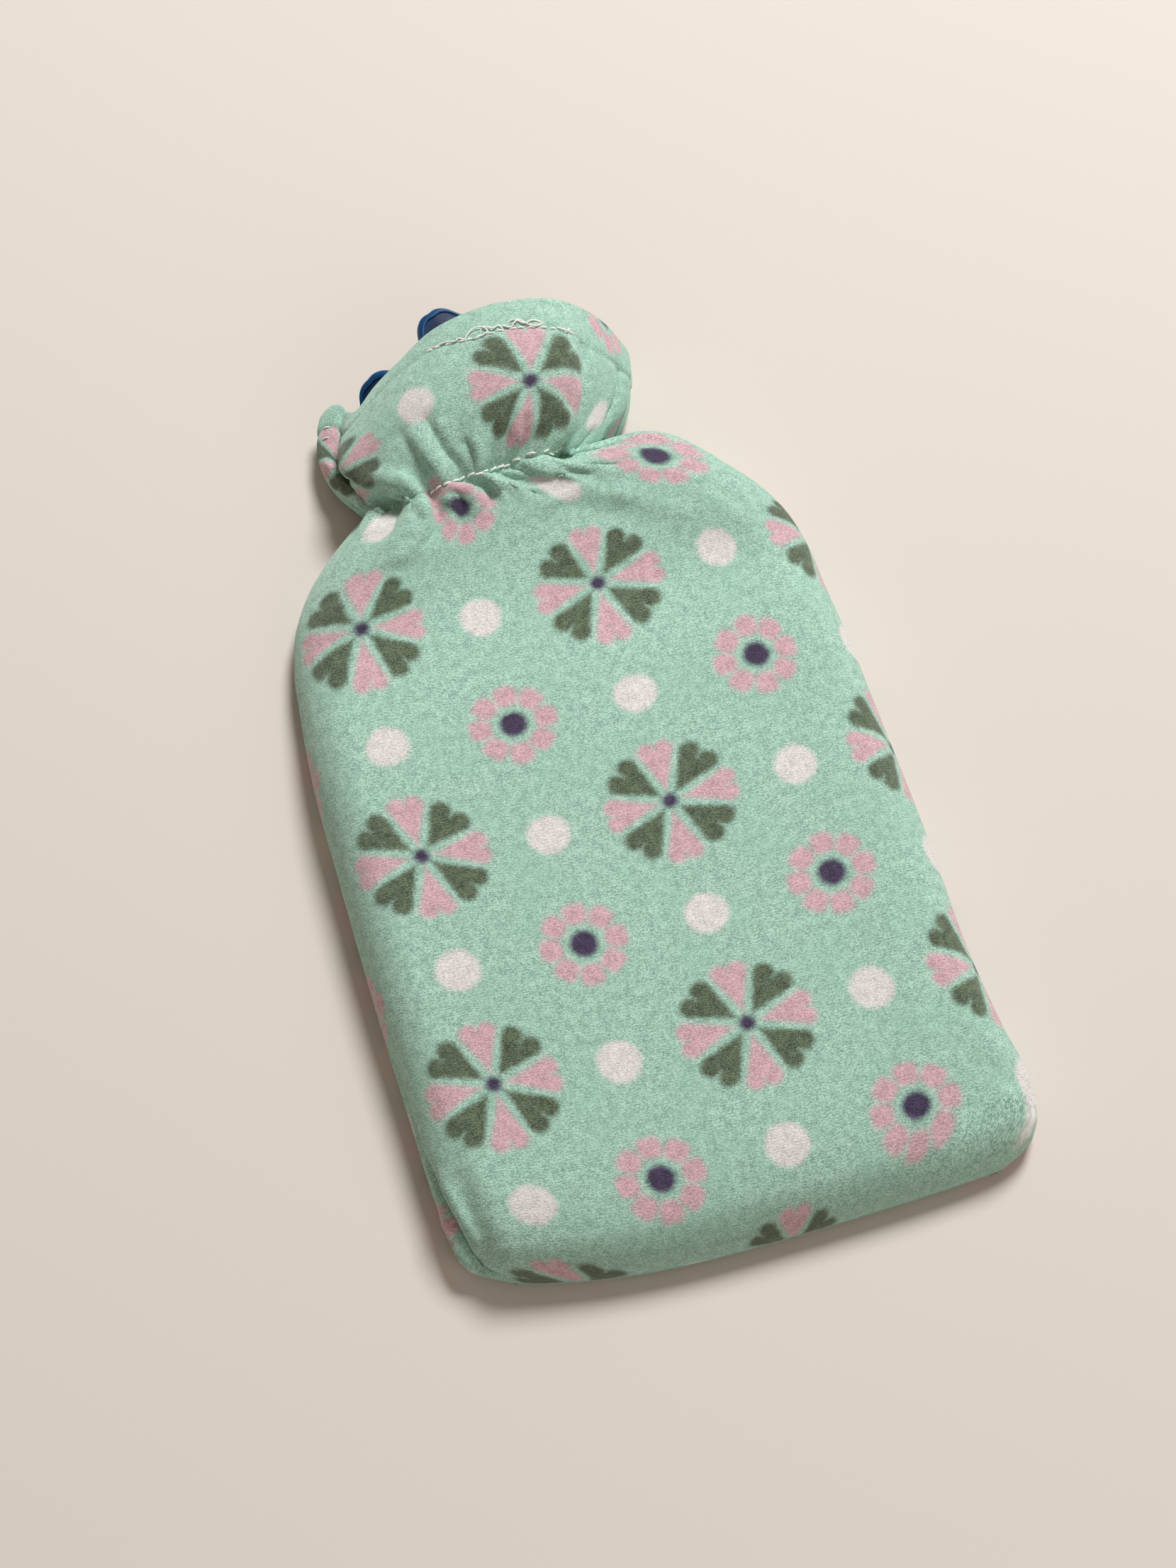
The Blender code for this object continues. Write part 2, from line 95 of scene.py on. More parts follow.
# Collar, one row per fold: panel, cloth position across, middle point and hem
# point.  Front rows run left to right, back rows right to left.
MIDDLE_POINT, HEM_POINT = slice(2, 5), slice(5, 8)
COLLAR = (
    ("front", -97.0, -63.8, 315.0, 4.8, -60.5, 335.0, 5.2),    # left seam
    ("front", -84.0, -65.0, 315.5, 9.5, -60.5, 340.5, 9.5),    # left flap
    ("front", -74.0, -62.5, 313.5, 12.0, -55.0, 342.0, 12.0),
    ("front", -66.0, -59.0, 309.5, 13.5, -52.2, 338.0, 12.0),  # valley behind the lobe
    ("front", -59.0, -61.0, 305.5, 22.0, -49.8, 331.5, 20.0),  # lobe's left edge
    ("front", -46.0, -49.0, 308.0, 31.5, -40.5, 337.5, 24.5),
    ("front", -28.0, -31.5, 313.5, 40.0, -29.3, 341.6, 31.0),
    ("front", -10.0, -12.5, 314.5, 44.5, -14.0, 346.6, 38.5),
    ("front", 8.0, 5.5, 313.0, 46.5, 6.5, 348.5, 42.5),        # top of the main lobe
    ("front", 26.0, 23.5, 311.5, 44.0, 26.0, 347.0, 41.0),
    ("front", 42.0, 32.0, 309.0, 31.5, 38.5, 345.0, 33.5),     # valley
    ("front", 58.0, 38.5, 309.0, 26.5, 46.5, 340.0, 27.5),     # right lobe
    ("front", 75.0, 44.5, 308.5, 19.0, 52.0, 334.5, 20.5),
    ("front", 97.0, 42.5, 307.5, 9.5, 53.5, 336.5, 15.0),      # right seam
    ("back", 84.0, 45.5, 311.0, 4.8, 55.5, 339.5, 8.5),
    ("back", 62.0, 38.0, 313.0, 1.6, 47.0, 341.0, 2.2),
    ("back", 30.0, 20.0, 318.0, 0.9, 26.0, 348.0, 1.0),
    ("back", 0.0, -6.0, 319.0, 0.9, -4.0, 350.0, 1.0),
    ("back", -38.0, -33.0, 314.0, 0.9, -35.0, 343.0, 1.0),
    ("back", -72.0, -53.0, 312.0, 1.4, -53.0, 338.0, 1.6),
)

# Folds drawn in by the elastic, one row per fold: cloth position at the
# elastic, half width there, height (a valley is negative), reach down into the
# body, reach up into the collar, and drift across per mm each way.
PLEATS = (
    (-66.0, 7.0, 2.0, 34.0, 26.0, 0.10, 0.0),
    (-54.0, 6.0, -2.6, 30.0, 30.0, -0.35, -0.10),
    (-43.0, 6.5, 2.4, 32.0, 30.0, -0.45, -0.15),
    (-32.0, 5.5, -2.6, 26.0, 34.0, -0.10, -0.45),
    (-21.0, 6.0, 1.8, 20.0, 26.0, 0.05, -0.30),
    (-12.0, 4.5, -2.0, 22.0, 24.0, 0.40, -0.30),
    (-3.0, 5.0, 1.6, 26.0, 18.0, 0.45, -0.10),
    (6.0, 4.5, -2.0, 20.0, 20.0, 0.45, -0.05),
    (17.0, 6.0, -2.4, 30.0, 14.0, 0.75, 0.05),
    (30.0, 7.5, 2.6, 36.0, 22.0, 0.55, 0.10),
    (44.0, 7.0, -2.8, 30.0, 46.0, 0.60, 0.12),
    (60.0, 9.0, 2.4, 38.0, 26.0, 0.35, 0.10),
    (80.0, 9.0, -2.0, 30.0, 30.0, 0.20, 0.05),
)
PLEAT_WIDENS = 0.9      # a pleat's width grows by this share up to its end
PLEAT_FADE = 10.0       # pleats fade out this near a seam

# Soft waves over the body's front: centre x and y, reach along and across,
# direction of the long way in degrees from x, height.
WAVES = (
    (45.0, 232.0, 70.0, 17.0, 3.0, -2.4),
    (-40.0, 246.0, 45.0, 14.0, 22.0, -1.2),
    (66.0, 256.0, 34.0, 10.0, -28.0, 1.8),
    (70.0, 120.0, 90.0, 8.0, 88.0, 0.7),
    (20.0, 60.0, 80.0, 26.0, 10.0, -0.7),
    (-30.0, 130.0, 60.0, 30.0, -35.0, 0.6),
    (-86.0, 26.0, 20.0, 4.0, 92.0, -3.6),     # crease inside the left corner
    (80.0, 30.0, 26.0, 9.0, 62.0, -1.8),      # slack corner on the right
)

# Cloth bulging up beside the neck, between two cloth rows: x, half width, rise along y
SHOULDER_ROWS = (238.0, 284.0)
SHOULDERS = (
    (54.0, 24.0, 11.0),
    (-40.0, 16.0, -3.5),
)

# The bottom edge is drawn up from the outline's first row, at its corners the most
CORNER_LIFT = dict(middle=3.4, left=14.0, right=2.5, half=90.0, power=2.4, fades=70.0)

# Bottle, one row per section: y, centre x, centre z, half width, half height
BOTTLE = (
    (12.0, 1.0, 8.4, 56.0, 2.4),
    (14.0, 1.0, 8.8, 64.0, 3.8),
    (20.0, 1.0, 10.0, 75.0, 6.0),
    (31.0, 1.0, 11.4, 83.0, 8.0),
    (60.0, 0.0, 12.4, 87.5, 9.8),
    (120.0, 0.0, 12.4, 88.0, 9.9),
    (180.0, -1.0, 12.2, 88.0, 9.4),
    (212.0, -1.5, 11.2, 85.0, 8.2),
    (236.0, -2.0, 10.9, 76.0, 7.7),
    (251.0, -4.0, 11.6, 60.0, 8.2),
    (262.0, -6.0, 13.0, 42.0, 8.8),
    (271.0, -8.0, 14.4, 29.0, 9.4),
    (281.0, -9.5, 15.6, 22.5, 9.8),
    (292.0, -10.5, 16.2, 20.5, 9.8),
)
MOUTH_CENTRE = (-23.9, 345.1, 21.5)
MOUTH_ACROSS = (0.88, 0.33, 0.34)
MOUTH_AXIS = (-0.37, 0.923, 0.06)
MOUTH_HALF = (27.6, 8.4)     # half width ear to ear, and half depth
EAR_RISE = (3.0, 7.0)        # the left and right ears stand above the mouth's middle
LIP_DIP = 8.0                # and the front and back lips dip below it
EAR_UP = (0.04, 0.5)         # an ear rises between these shares of the way across
EAR_DOWN = (0.72, 1.0)       # and falls again between these,
EAR_FALL = 0.62              # by this share of its height
RUBBER_T = 2.2
NECK_GAP = 0.4               # between the moulded mouth and the bottle's body
NECK_BEND = (0.0, 22.0, 2.0) # the neck's curve bends towards this, from its start
NECK_STEPS = 9
SLAB_SQUARE = 1.4            # the slab's sections are this much squarer than the neck's,
SLAB_FROM, SLAB_TO = 22.0, 62.0     # growing between these half widths
BEAD_R = 1.8
BEAD_RISE = 0.6              # of its radius, above the rim
BEAD_DEGREES = (-35.0, 15.0, 60.0, 100.0, 140.0, 185.0, 220.0)
SECTION_POINTS = 48


def through(knots, values, at):
    """A smooth curve through a row of values at each knot, read at each place."""
    slopes = np.gradient(values, knots, axis=0)
    i = np.clip(np.searchsorted(knots, at, side="right") - 1, 0, len(knots) - 2)
    step = (knots[i + 1] - knots[i])[..., None]
    t = (at - knots[i])[..., None] / step
    return (
        (2 * t**3 - 3 * t**2 + 1) * values[i]
        + (t**3 - 2 * t**2 + t) * step * slopes[i]
        + (3 * t**2 - 2 * t**3) * values[i + 1]
        + (t**3 - t**2) * step * slopes[i + 1]
    )


def outline(y):
    """Left, right, seam height, side roll and crown of the cover at y."""
    rows = np.array(OUTLINE)
    knots = rows[:, 0]
    found = through(knots, rows[:, 1:], np.clip(y, knots[0], knots[-1]))
    return np.moveaxis(found, -1, 0)


def smooth(edge0, edge1, x):
    """0 below edge0, 1 above edge1, and an even S between."""
    t = np.clip((x - edge0) / (edge1 - edge0), 0.0, 1.0)
    return t * t * (3 - 2 * t)


def quarter(roll, height):
    """Arc length of a section's rounded side."""
    return math.pi / 2 * np.sqrt((roll**2 + height**2) / 2)


def side(s, flat, roll, height):
    """Distance out and height above the seam, at arc length s from the middle."""
    turn = np.clip((s - flat) / (quarter(roll, height) + 1e-6), 0.0, 1.0) * math.pi / 2
    out = np.where(s <= flat, s, flat + roll * np.sin(turn))
    return out, height * np.cos(turn)


def body(p, v):
    """Middle of the cloth below the elastic.

    p runs round the cover: 0 to 1 over the front from the left seam to the
    right one, 1 to 2 back underneath.
    """
    turn = np.clip((v + BOTTOM_ROLL) / (2 * BOTTOM_ROLL), 0.0, 1.0) * math.pi / 2
    y = np.where(v < BOTTOM_ROLL, BOTTOM_ROLL * (1 - np.cos(turn)), v)
    rise = np.where(v < BOTTOM_ROLL, np.sin(turn), 1.0)
    left, right, seam, roll, crown = outline(y)
    middle, half = (left + right) / 2, (right - left) / 2

    on_front = p <= 1.0
    across = np.where(on_front, 2 * p - 1, 3 - 2 * p)
    roll = np.minimum(np.where(on_front, roll, BACK_ROLL[0] + BACK_ROLL[1] * roll), half)
    height = np.where(on_front, crown - seam, seam - REST_Z) * rise
    flat = half - roll
    out, up = side(np.abs(across) * (flat + quarter(roll, height)), flat, roll, height)
    x = middle + np.sign(across) * out
    z = np.where(on_front, seam + up, seam - up)

    lean = LEAN["shift"] - LEAN["less"] * (z - LEAN["middle"]) / LEAN["height"]
    y = y + smooth(LEAN["start"], GATHER_V, v) * lean
    for at, wide, amount in SHOULDERS:
        y = y + amount * np.exp(-(((x - at) / wide) ** 2)) * smooth(*SHOULDER_ROWS, v)
    # The corners of the bottom edge lie further up
    lift = np.where(x < 0, CORNER_LIFT["left"], CORNER_LIFT["right"])
    lift = CORNER_LIFT["middle"] + lift * (np.abs(x) / CORNER_LIFT["half"]) ** CORNER_LIFT["power"]
    y = y + lift * np.clip(1 - y / CORNER_LIFT["fades"], 0.0, 1.0) ** 2

    # Soft waves, on the front only, less towards its seams
    wave = np.zeros_like(x)
    for wx, wy, long, short, angle, amount in WAVES:
        c, s = math.cos(math.radians(angle)), math.sin(math.radians(angle))
        along = ((x - wx) * c + (y - wy) * s) / long
        over = ((y - wy) * c - (x - wx) * s) / short
        wave += amount * np.exp(-(along**2) - over**2)
    full = np.where(on_front, up / np.maximum(crown - seam, 1.0), 0.0)
    return np.stack([x, y, z + wave * full**0.7], -1)


def ring(point, p):
    """A closed curve through one point of each collar row, at each p round the cover."""
    knots, points = [], []
    for row in COLLAR:
        across = row[1] / COLLAR_HALF
        knots.append((across + 1) / 2 if row[0] == "front" else (3 - across) / 2)
        points.append(row[point])
    knots = [k - 2 for k in knots[-3:]] + knots + [k + 2 for k in knots[:3]]
    points = points[-3:] + points + points[:3]
    return through(np.array(knots), np.array(points), p)


def collar(p, v):
    """Middle of the cloth above the elastic, a parabola from its ring through two more."""
    start = body(p, np.full_like(p, GATHER_V))
    middle = ring(MIDDLE_POINT, p)
    hem = ring(HEM_POINT, p)
    s = ((v - GATHER_V) / (HEM_V - GATHER_V))[..., None]
    m = (COLLAR_V - GATHER_V) / (HEM_V - GATHER_V)
    return (
        start * (s - m) * (s - 1) / m
        + middle * s * (s - 1) / (m * (m - 1))
        + hem * s * (s - m) / (1 - m)
    )


def pleats(u, v):
    """Height of the elastic's folds over the cloth."""
    total = np.zeros_like(u)
    above = v > GATHER_V
    away = np.abs(v - GATHER_V)
    for centre, half, height, down, up, drift_down, drift_up in PLEATS:
        reach = np.where(above, up, down)
        drift = np.where(above, drift_up, drift_down) * away
        fade = np.clip(1 - (away / reach) ** 2, 0.0, 1.0) ** 1.5
        wide = half * (1 + PLEAT_WIDENS * away / reach)
        total += height * fade * np.exp(-(((u - centre - drift) / wide) ** 2))
    return total


def normals(points):
    """Unit normals of a grid of points, by its neighbours."""
    along = np.gradient(points, axis=0)
    across = np.gradient(points, axis=1)
    n = np.cross(across, along)
    return n / np.maximum(np.linalg.norm(n, axis=-1, keepdims=True), 1e-9)


def cloth(p, v):
    """Middle of the cloth at each p and v of a grid that stays on one panel."""
    points = np.where((v <= GATHER_V)[..., None], body(p, np.minimum(v, GATHER_V)),
                      collar(p, np.maximum(v, GATHER_V)))
    u = np.where(p <= 1.0, 2 * p - 1, 3 - 2 * p) * COLLAR_HALF
    front = np.where(p <= 1.0, 1.0, -1.0)
    amount = np.where(front > 0, pleats(u, v), 0.0)
    amount = amount * smooth(0.0, PLEAT_FADE, COLLAR_HALF - np.abs(u))
    n = normals(points)
    points = points + n * amount[..., None]
    # Where the panels meet flat rather than edge to edge, one lies on the other
    near = np.exp(-np.minimum(COLLAR_HALF - np.abs(u), v + BOTTOM_ROLL) / LAP_FADE)
    lap = np.maximum(smooth(*LAP_FLAT, np.abs(n[..., 2])), smooth(*LAP_ROWS, v))
    points[..., 2] += front * near * (LAP_GAP + CLOTH_T / 2 * lap)
    points[..., 2] = np.maximum(points[..., 2], REST_Z)
    return points


def orthonormal():
    """Across, over and along directions of the bottle's mouth."""
    across = np.array(MOUTH_ACROSS)
    across = across / np.linalg.norm(across)
    axis = np.array(MOUTH_AXIS)
    axis = axis - across * axis.dot(across)
    axis = axis / np.linalg.norm(axis)
    return across, np.cross(across, axis), axis


def bottle_sections():
    """Closed loops of the bottle's skin, for its body and its mouth.

    The mouth's run up its outside, over the bead and down its inside.
    """
    turn = np.linspace(0, 2 * math.pi, SECTION_POINTS, endpoint=False)
    across, over, axis = orthonormal()
    up = np.array([0.0, 0.0, 1.0])
    right = np.array([1.0, 0.0, 0.0])

    def loop(centre, e1, e2, half, depth, power):
        c, s = np.cos(turn), np.sin(turn)
        x = np.sign(c) * np.abs(c) ** (2 / power) * half
        z = np.sign(s) * np.abs(s) ** (2 / power) * depth
        return np.array(centre) + x[:, None] * e1 + z[:, None] * e2

    slab = []
    for y, x, z, half, depth in BOTTLE:
        power = 2.0 + SLAB_SQUARE * np.clip((half - SLAB_FROM) / (SLAB_TO - SLAB_FROM), 0.0, 1.0)
        slab.append(loop((x, y, z), right, up, half, depth, power))

    # Neck to mouth: the section turns, leans and flares
    y, x, z, neck_half, neck_depth = BOTTLE[-1]
    start = np.array([x, y, z])
    end = np.array(MOUTH_CENTRE)
    bend = start + np.array(NECK_BEND)
    wide = np.abs(np.cos(turn))
    # The rim rises on both sides to an ear, and falls again at the ear's outer end
    ear = smooth(*EAR_UP, wide) * (1 - EAR_FALL * smooth(*EAR_DOWN, wide))
    rise = np.where(np.cos(turn) < 0, EAR_RISE[0], EAR_RISE[1])
    saddle = (rise + LIP_DIP) * ear - LIP_DIP

    def mouth_loop(t, shrink):
        centre = (1 - t) ** 2 * start + 2 * t * (1 - t) * bend + t * t * end
        blend = float(smooth(0.0, 1.0, t))
        e1 = right * (1 - blend) + across * blend
        e2 = up * (1 - blend) + over * blend
        half = neck_half + (MOUTH_HALF[0] - neck_half) * t**2 - shrink
        depth = neck_depth + (MOUTH_HALF[1] - neck_depth) * t**2 - shrink
        flat = loop(centre, e1 / np.linalg.norm(e1), e2 / np.linalg.norm(e2), half, depth, 2.0)
        return flat + (saddle * t**3)[:, None] * axis

    outside = [slab[-1] + np.array([0.0, NECK_GAP, 0.0])]
    for k in range(1, NECK_STEPS + 1):
        outside.append(mouth_loop(k / NECK_STEPS, 0.0))

    # The bead rolls over the rim from the outside to the inside
    rim = outside[-1]
    centre = rim.mean(0)
    away = rim - centre
    away = away - (away @ axis)[:, None] * axis
    away = away / np.linalg.norm(away, axis=1, keepdims=True)
    core = rim - away * RUBBER_T / 2 + axis * BEAD_R * BEAD_RISE
    bead = []
    for a in np.radians(BEAD_DEGREES):
        bead.append(core + BEAD_R * (math.cos(a) * away + math.sin(a) * axis))

    inside = [mouth_loop(k / NECK_STEPS, RUBBER_T) for k in range(NECK_STEPS - 1, 0, -1)]
    return slab, outside + bead + inside


def origin():
    """Where the work frame's origin lies, from the CAD mouth's box."""
    mouth = np.concatenate(bottle_sections()[1])
    low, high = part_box("bottle_mouth")
    ours = (mouth.min(0) + mouth.max(0)) / 2
    theirs = (np.array(low) + np.array(high)) / 2 / MM
    return np.append((ours - theirs)[:2], 0.0)


ORIGIN = origin()

# ---- the cloth, finer

BOTTOM_ROWS = 25        # over the rounding at the bottom edge
BODY_STEP = 3.2         # row spacing over the body
SHOULDER_FROM = 228.0   # up to this row
SHOULDER_STEP = 1.7
NECK_FROM = 262.0
NECK_STEP = 0.85        # around the elastic and the collar
ACROSS = 176            # columns of a panel
EDGE_COLUMNS = (0.0, 0.0006, 0.0015, 0.003)     # and more beside each edge
HEM_FROM = 342.0        # the hem's stitched edge
HEM_EXTRA = 0.9         # how much thicker the doubled cloth is
HEM_STEP = (-1.2, 1.5)  # from and to, past that edge
LUMPS_FROM = 25.0       # the slow unevenness is at its full height from this row up
SEAM_TRIM = 0.06        # the panels' edges nearly touch along the seams
EDGE_ROUND = 1.3        # and are rounded this far in,
EDGE_THIN = 0.85        # by this much
DETAIL_FADE = 7.0       # the finer detail fades out this near a seam

# Folds finer than the CAD's, each a ridge or trough along three points: cloth position
# u, v of each, then half width and height (a trough is negative)
FOLDS = (
    # Over the main lobe, left to right
    (-50.0, 312.0, -45.0, 303.0, -40.0, 294.0, 2.3, 1.3),
    (-37.0, 324.0, -31.0, 304.0, -25.0, 291.0, 1.7, -1.7),
    (-32.0, 318.0, -28.0, 303.0, -22.0, 292.0, 1.5, 1.6),
    (-27.0, 322.0, -20.5, 304.0, -11.0, 292.5, 1.4, -2.0),
    (-22.5, 317.0, -17.0, 303.0, -7.5, 292.5, 1.0, 1.5),
    (-12.5, 306.0, -6.5, 297.0, -3.8, 291.0, 0.9, -1.4),
    (-8.5, 306.0, -3.5, 296.5, -1.5, 289.0, 0.9, 1.2),
    (2.0, 314.0, 7.5, 299.0, 12.0, 291.5, 0.8, 1.1),
    (5.5, 308.0, 10.0, 298.0, 15.0, 291.5, 0.9, -1.0),
    (9.0, 316.0, 12.2, 303.5, 19.5, 293.0, 0.8, 1.2),
    (13.5, 310.0, 17.0, 300.0, 23.0, 292.0, 0.9, -1.1),
    (21.0, 308.0, 25.0, 299.0, 28.5, 292.0, 0.9, 1.0),
    (25.5, 309.0, 29.0, 300.0, 32.0, 293.0, 0.9, -0.9),
    (32.5, 324.0, 35.0, 309.5, 37.5, 296.0, 1.0, 1.5),
    (30.0, 313.0, 32.5, 302.5, 36.0, 295.0, 0.8, 1.1),
    (36.0, 345.0, 38.0, 325.0, 41.0, 302.0, 2.2, -2.6),
    (66.0, 345.0, 66.0, 325.0, 64.0, 305.0, 2.4, -2.0),
    # Round the gather's left end and down over the body
    (-42.7, 306.0, -37.6, 290.0, -47.0, 276.5, 1.4, 2.3),
    (-46.5, 300.0, -43.6, 290.0, -49.0, 281.0, 1.2, -1.6),
    (-44.5, 282.0, -50.0, 271.0, -57.0, 258.0, 1.8, 1.9),
    (-42.0, 286.0, -46.5, 277.0, -53.5, 266.0, 0.9, -1.6),
    (-46.5, 286.0, -52.0, 277.0, -59.0, 266.0, 1.0, 1.1),
    (-33.5, 292.0, -37.0, 281.0, -45.0, 267.0, 1.6, -2.9),
    (-27.0, 290.0, -31.0, 281.0, -38.0, 269.0, 1.2, 1.4),
    (-22.5, 290.0, -26.0, 281.0, -32.0, 271.0, 1.0, -1.1),
    (-17.0, 290.0, -20.0, 282.0, -26.0, 272.0, 1.1, 1.0),
    (-5.0, 291.0, -10.0, 284.0, -18.0, 273.0, 1.4, -1.8),
    (-1.5, 290.0, -5.3, 284.0, -12.5, 273.0, 0.9, 1.8),
    (3.5, 290.0, 0.5, 285.0, -3.0, 278.0, 1.0, -1.1),
    (11.5, 291.0, 4.0, 281.0, 7.0, 272.0, 2.2, -1.7),
    (24.0, 294.0, 24.5, 285.0, 22.0, 274.0, 1.5, 2.1),
    (29.5, 290.0, 28.0, 282.0, 31.0, 276.0, 1.0, -1.0),
    (22.0, 278.0, 26.0, 270.0, 40.0, 260.0, 3.0, 1.3),
    (34.0, 291.0, 36.0, 282.0, 44.0, 272.0, 2.2, -2.6),
    (10.0, 273.0, 22.0, 265.0, 38.0, 252.0, 4.5, -1.1),
    (28.0, 268.0, 40.0, 259.0, 58.0, 248.0, 4.0, 1.2),
    (44.0, 291.0, 47.0, 282.0, 55.0, 270.0, 1.6, 1.4),
    # At the two ends, where the collar folds under
    (-74.0, 336.0, -60.0, 318.0, -61.0, 298.0, 1.7, -3.6),
    (-79.0, 332.0, -69.0, 316.0, -68.0, 298.0, 1.6, 2.2),
    (-58.0, 302.0, -62.0, 293.0, -66.0, 280.0, 1.6, -2.0),
    (-70.0, 306.0, -72.0, 293.0, -76.0, 278.0, 1.6, 1.6),
    (-82.0, 308.0, -84.0, 293.0, -86.0, 280.0, 1.6, -1.5),
    (58.0, 312.0, 56.0, 293.0, 62.0, 276.0, 1.6, -2.0),
    (70.0, 310.0, 69.0, 293.0, 73.0, 274.0, 1.8, 1.6),
    (84.0, 310.0, 84.0, 293.0, 86.0, 278.0, 1.6, -1.5),
    # Across the body, where the cover slides on the bottle
    (-94.0, 98.0, -93.0, 70.0, -91.0, 46.0, 1.3, -2.2),
    (-91.5, 58.0, -88.3, 24.0, -87.5, -9.0, 1.3, -5.0),
    (-87.0, 50.0, -84.0, 27.0, -82.0, 8.0, 2.4, 1.3),
    (-94.0, 38.0, -93.0, 18.0, -92.0, -6.0, 1.4, 2.4),
    (-52.0, 262.0, -62.0, 248.0, -74.0, 238.0, 5.0, 0.9),
    (60.0, 262.0, 72.0, 250.0, 84.0, 236.0, 4.0, -0.9),
    (70.0, 38.0, 80.0, 26.0, 90.0, 18.0, 3.4, -1.2),
    (78.0, 16.0, 84.0, 24.0, 93.0, 30.0, 2.6, 0.9),
)
CREASE = 1.45           # power of a fold's profile: 2 is round, and 1 a sharp crease
FOLD_TAPER = (0.22, 0.62)   # a fold rises until the first share of its length, falls from the second
GATHERED = dict(reach=30.0, width=0.5)  # near the elastic the cloth is drawn in to this

# Stitches show along the elastic and the hem: from and to in cloth position,
# spacing, length
GATHER_STITCHES = dict(start=-30.0, end=47.0, every=4.6, long=3.1)
HEM_STITCHES = dict(start=-17.0, end=32.0, every=3.3, long=3.0)
FLAP_STITCHES = ((-77.0, 340.5), (-77.5, 345.5))        # two on the low flap's hem
STITCH_SUNK = 0.35      # how deep their ends go in
STITCH_R = 0.40
LOOSE_R = 0.31
FLAP_R = 0.30


def rows():
    """Cloth rows from the bottom seam to the hem's folded edge."""
    bottom = np.linspace(-BOTTOM_ROLL, BOTTOM_ROLL, BOTTOM_ROWS)
    low = np.arange(BOTTOM_ROLL + BODY_STEP, SHOULDER_FROM, BODY_STEP)
    middle = np.arange(SHOULDER_FROM, NECK_FROM, SHOULDER_STEP)
    high = np.arange(NECK_FROM, HEM_V - NECK_STEP / 2, NECK_STEP)
    return np.concatenate([bottom, low, middle, high, [HEM_V]])


def columns(first):
    """Places across a panel, closer together at its two edges."""
    even = np.linspace(0.0, 1.0, ACROSS + 1)[1:-1]
    near = np.array(EDGE_COLUMNS)
    return first + np.clip(np.concatenate([near, even, 1 - near[::-1]]), 1e-6, 1 - 1e-6)


def along_line(x, y, x0, y0, x1, y1):
    """How far along a line each place lies, 0 to 1, and its distance from it."""
    dx, dy = x1 - x0, y1 - y0
    t = np.clip(((x - x0) * dx + (y - y0) * dy) / (dx * dx + dy * dy), 0.0, 1.0)
    return t, np.hypot(x - x0 - t * dx, y - y0 - t * dy)


def fine_folds(u, v):
    """Height of the listed folds, each tapered towards its ends."""
    total = np.zeros_like(u)
    for u0, v0, u1, v1, u2, v2, half, height in FOLDS:
        narrow = GATHERED["width"] if abs(v1 - GATHER_V) < GATHERED["reach"] else 1.0
        x = u * narrow
        first, d0 = along_line(x, v, u0 * narrow, v0, u1 * narrow, v1)
        second, d1 = along_line(x, v, u1 * narrow, v1, u2 * narrow, v2)
        t = np.where(d0 < d1, first, 1 + second) / 2
        fold = np.exp(-((np.minimum(d0, d1) / half) ** CREASE))
        total += height * fold * smooth(0.0, FOLD_TAPER[0], t) * smooth(1.0, FOLD_TAPER[1], t)
    return total


def lumps(u, v):
    """Slow unevenness of cloth over a soft filling."""
    return (
        0.30 * np.sin(u / 17.0 + 0.8) * np.sin(v / 23.0 + 0.4)
        + 0.22 * np.sin(u / 9.5 - v / 31.0 + 2.0)
        + 0.14 * np.sin(u / 29.0 + v / 12.5 + 1.1)
    )


def hem_line(u):
    """The hem's stitched edge, which runs up towards the left and down at the right."""
    return HEM_FROM + 4.0 * smooth(-2.0, -20.0, u) - 2.0 * smooth(8.0, 26.0, u)


def puckers(u, v, on_front):
    """Dips that the stitches pull in the cloth along the elastic and the hem."""
    hem = np.exp(-(((v - hem_line(u)) / 1.3) ** 2))
    hem_wave = 0.5 + 0.5 * np.cos(2 * math.pi * u / HEM_STITCHES["every"])
    tuck = np.exp(-(((v - GATHER_V) / 1.5) ** 2))
    tuck_wave = 0.5 + 0.5 * np.cos(2 * math.pi * u / GATHER_STITCHES["every"])
    swell = np.exp(-(((v - HEM_FROM + 5.0) / 5.0) ** 2)) * np.sin(u / 5.3 + np.sin(u / 13.0))
    dips = hem * (0.35 + 0.35 * hem_wave) + on_front * tuck * (0.5 + 0.5 * tuck_wave)
    return 0.18 * swell - dips


def detail(u, v, on_front):
    """Height of everything finer than the CAD's folds, over the cloth's middle."""
    amount = puckers(u, v, on_front)
    if on_front:
        amount = amount + fine_folds(u, v) + lumps(u, v) * smooth(0.0, LUMPS_FROM, v)
    return amount


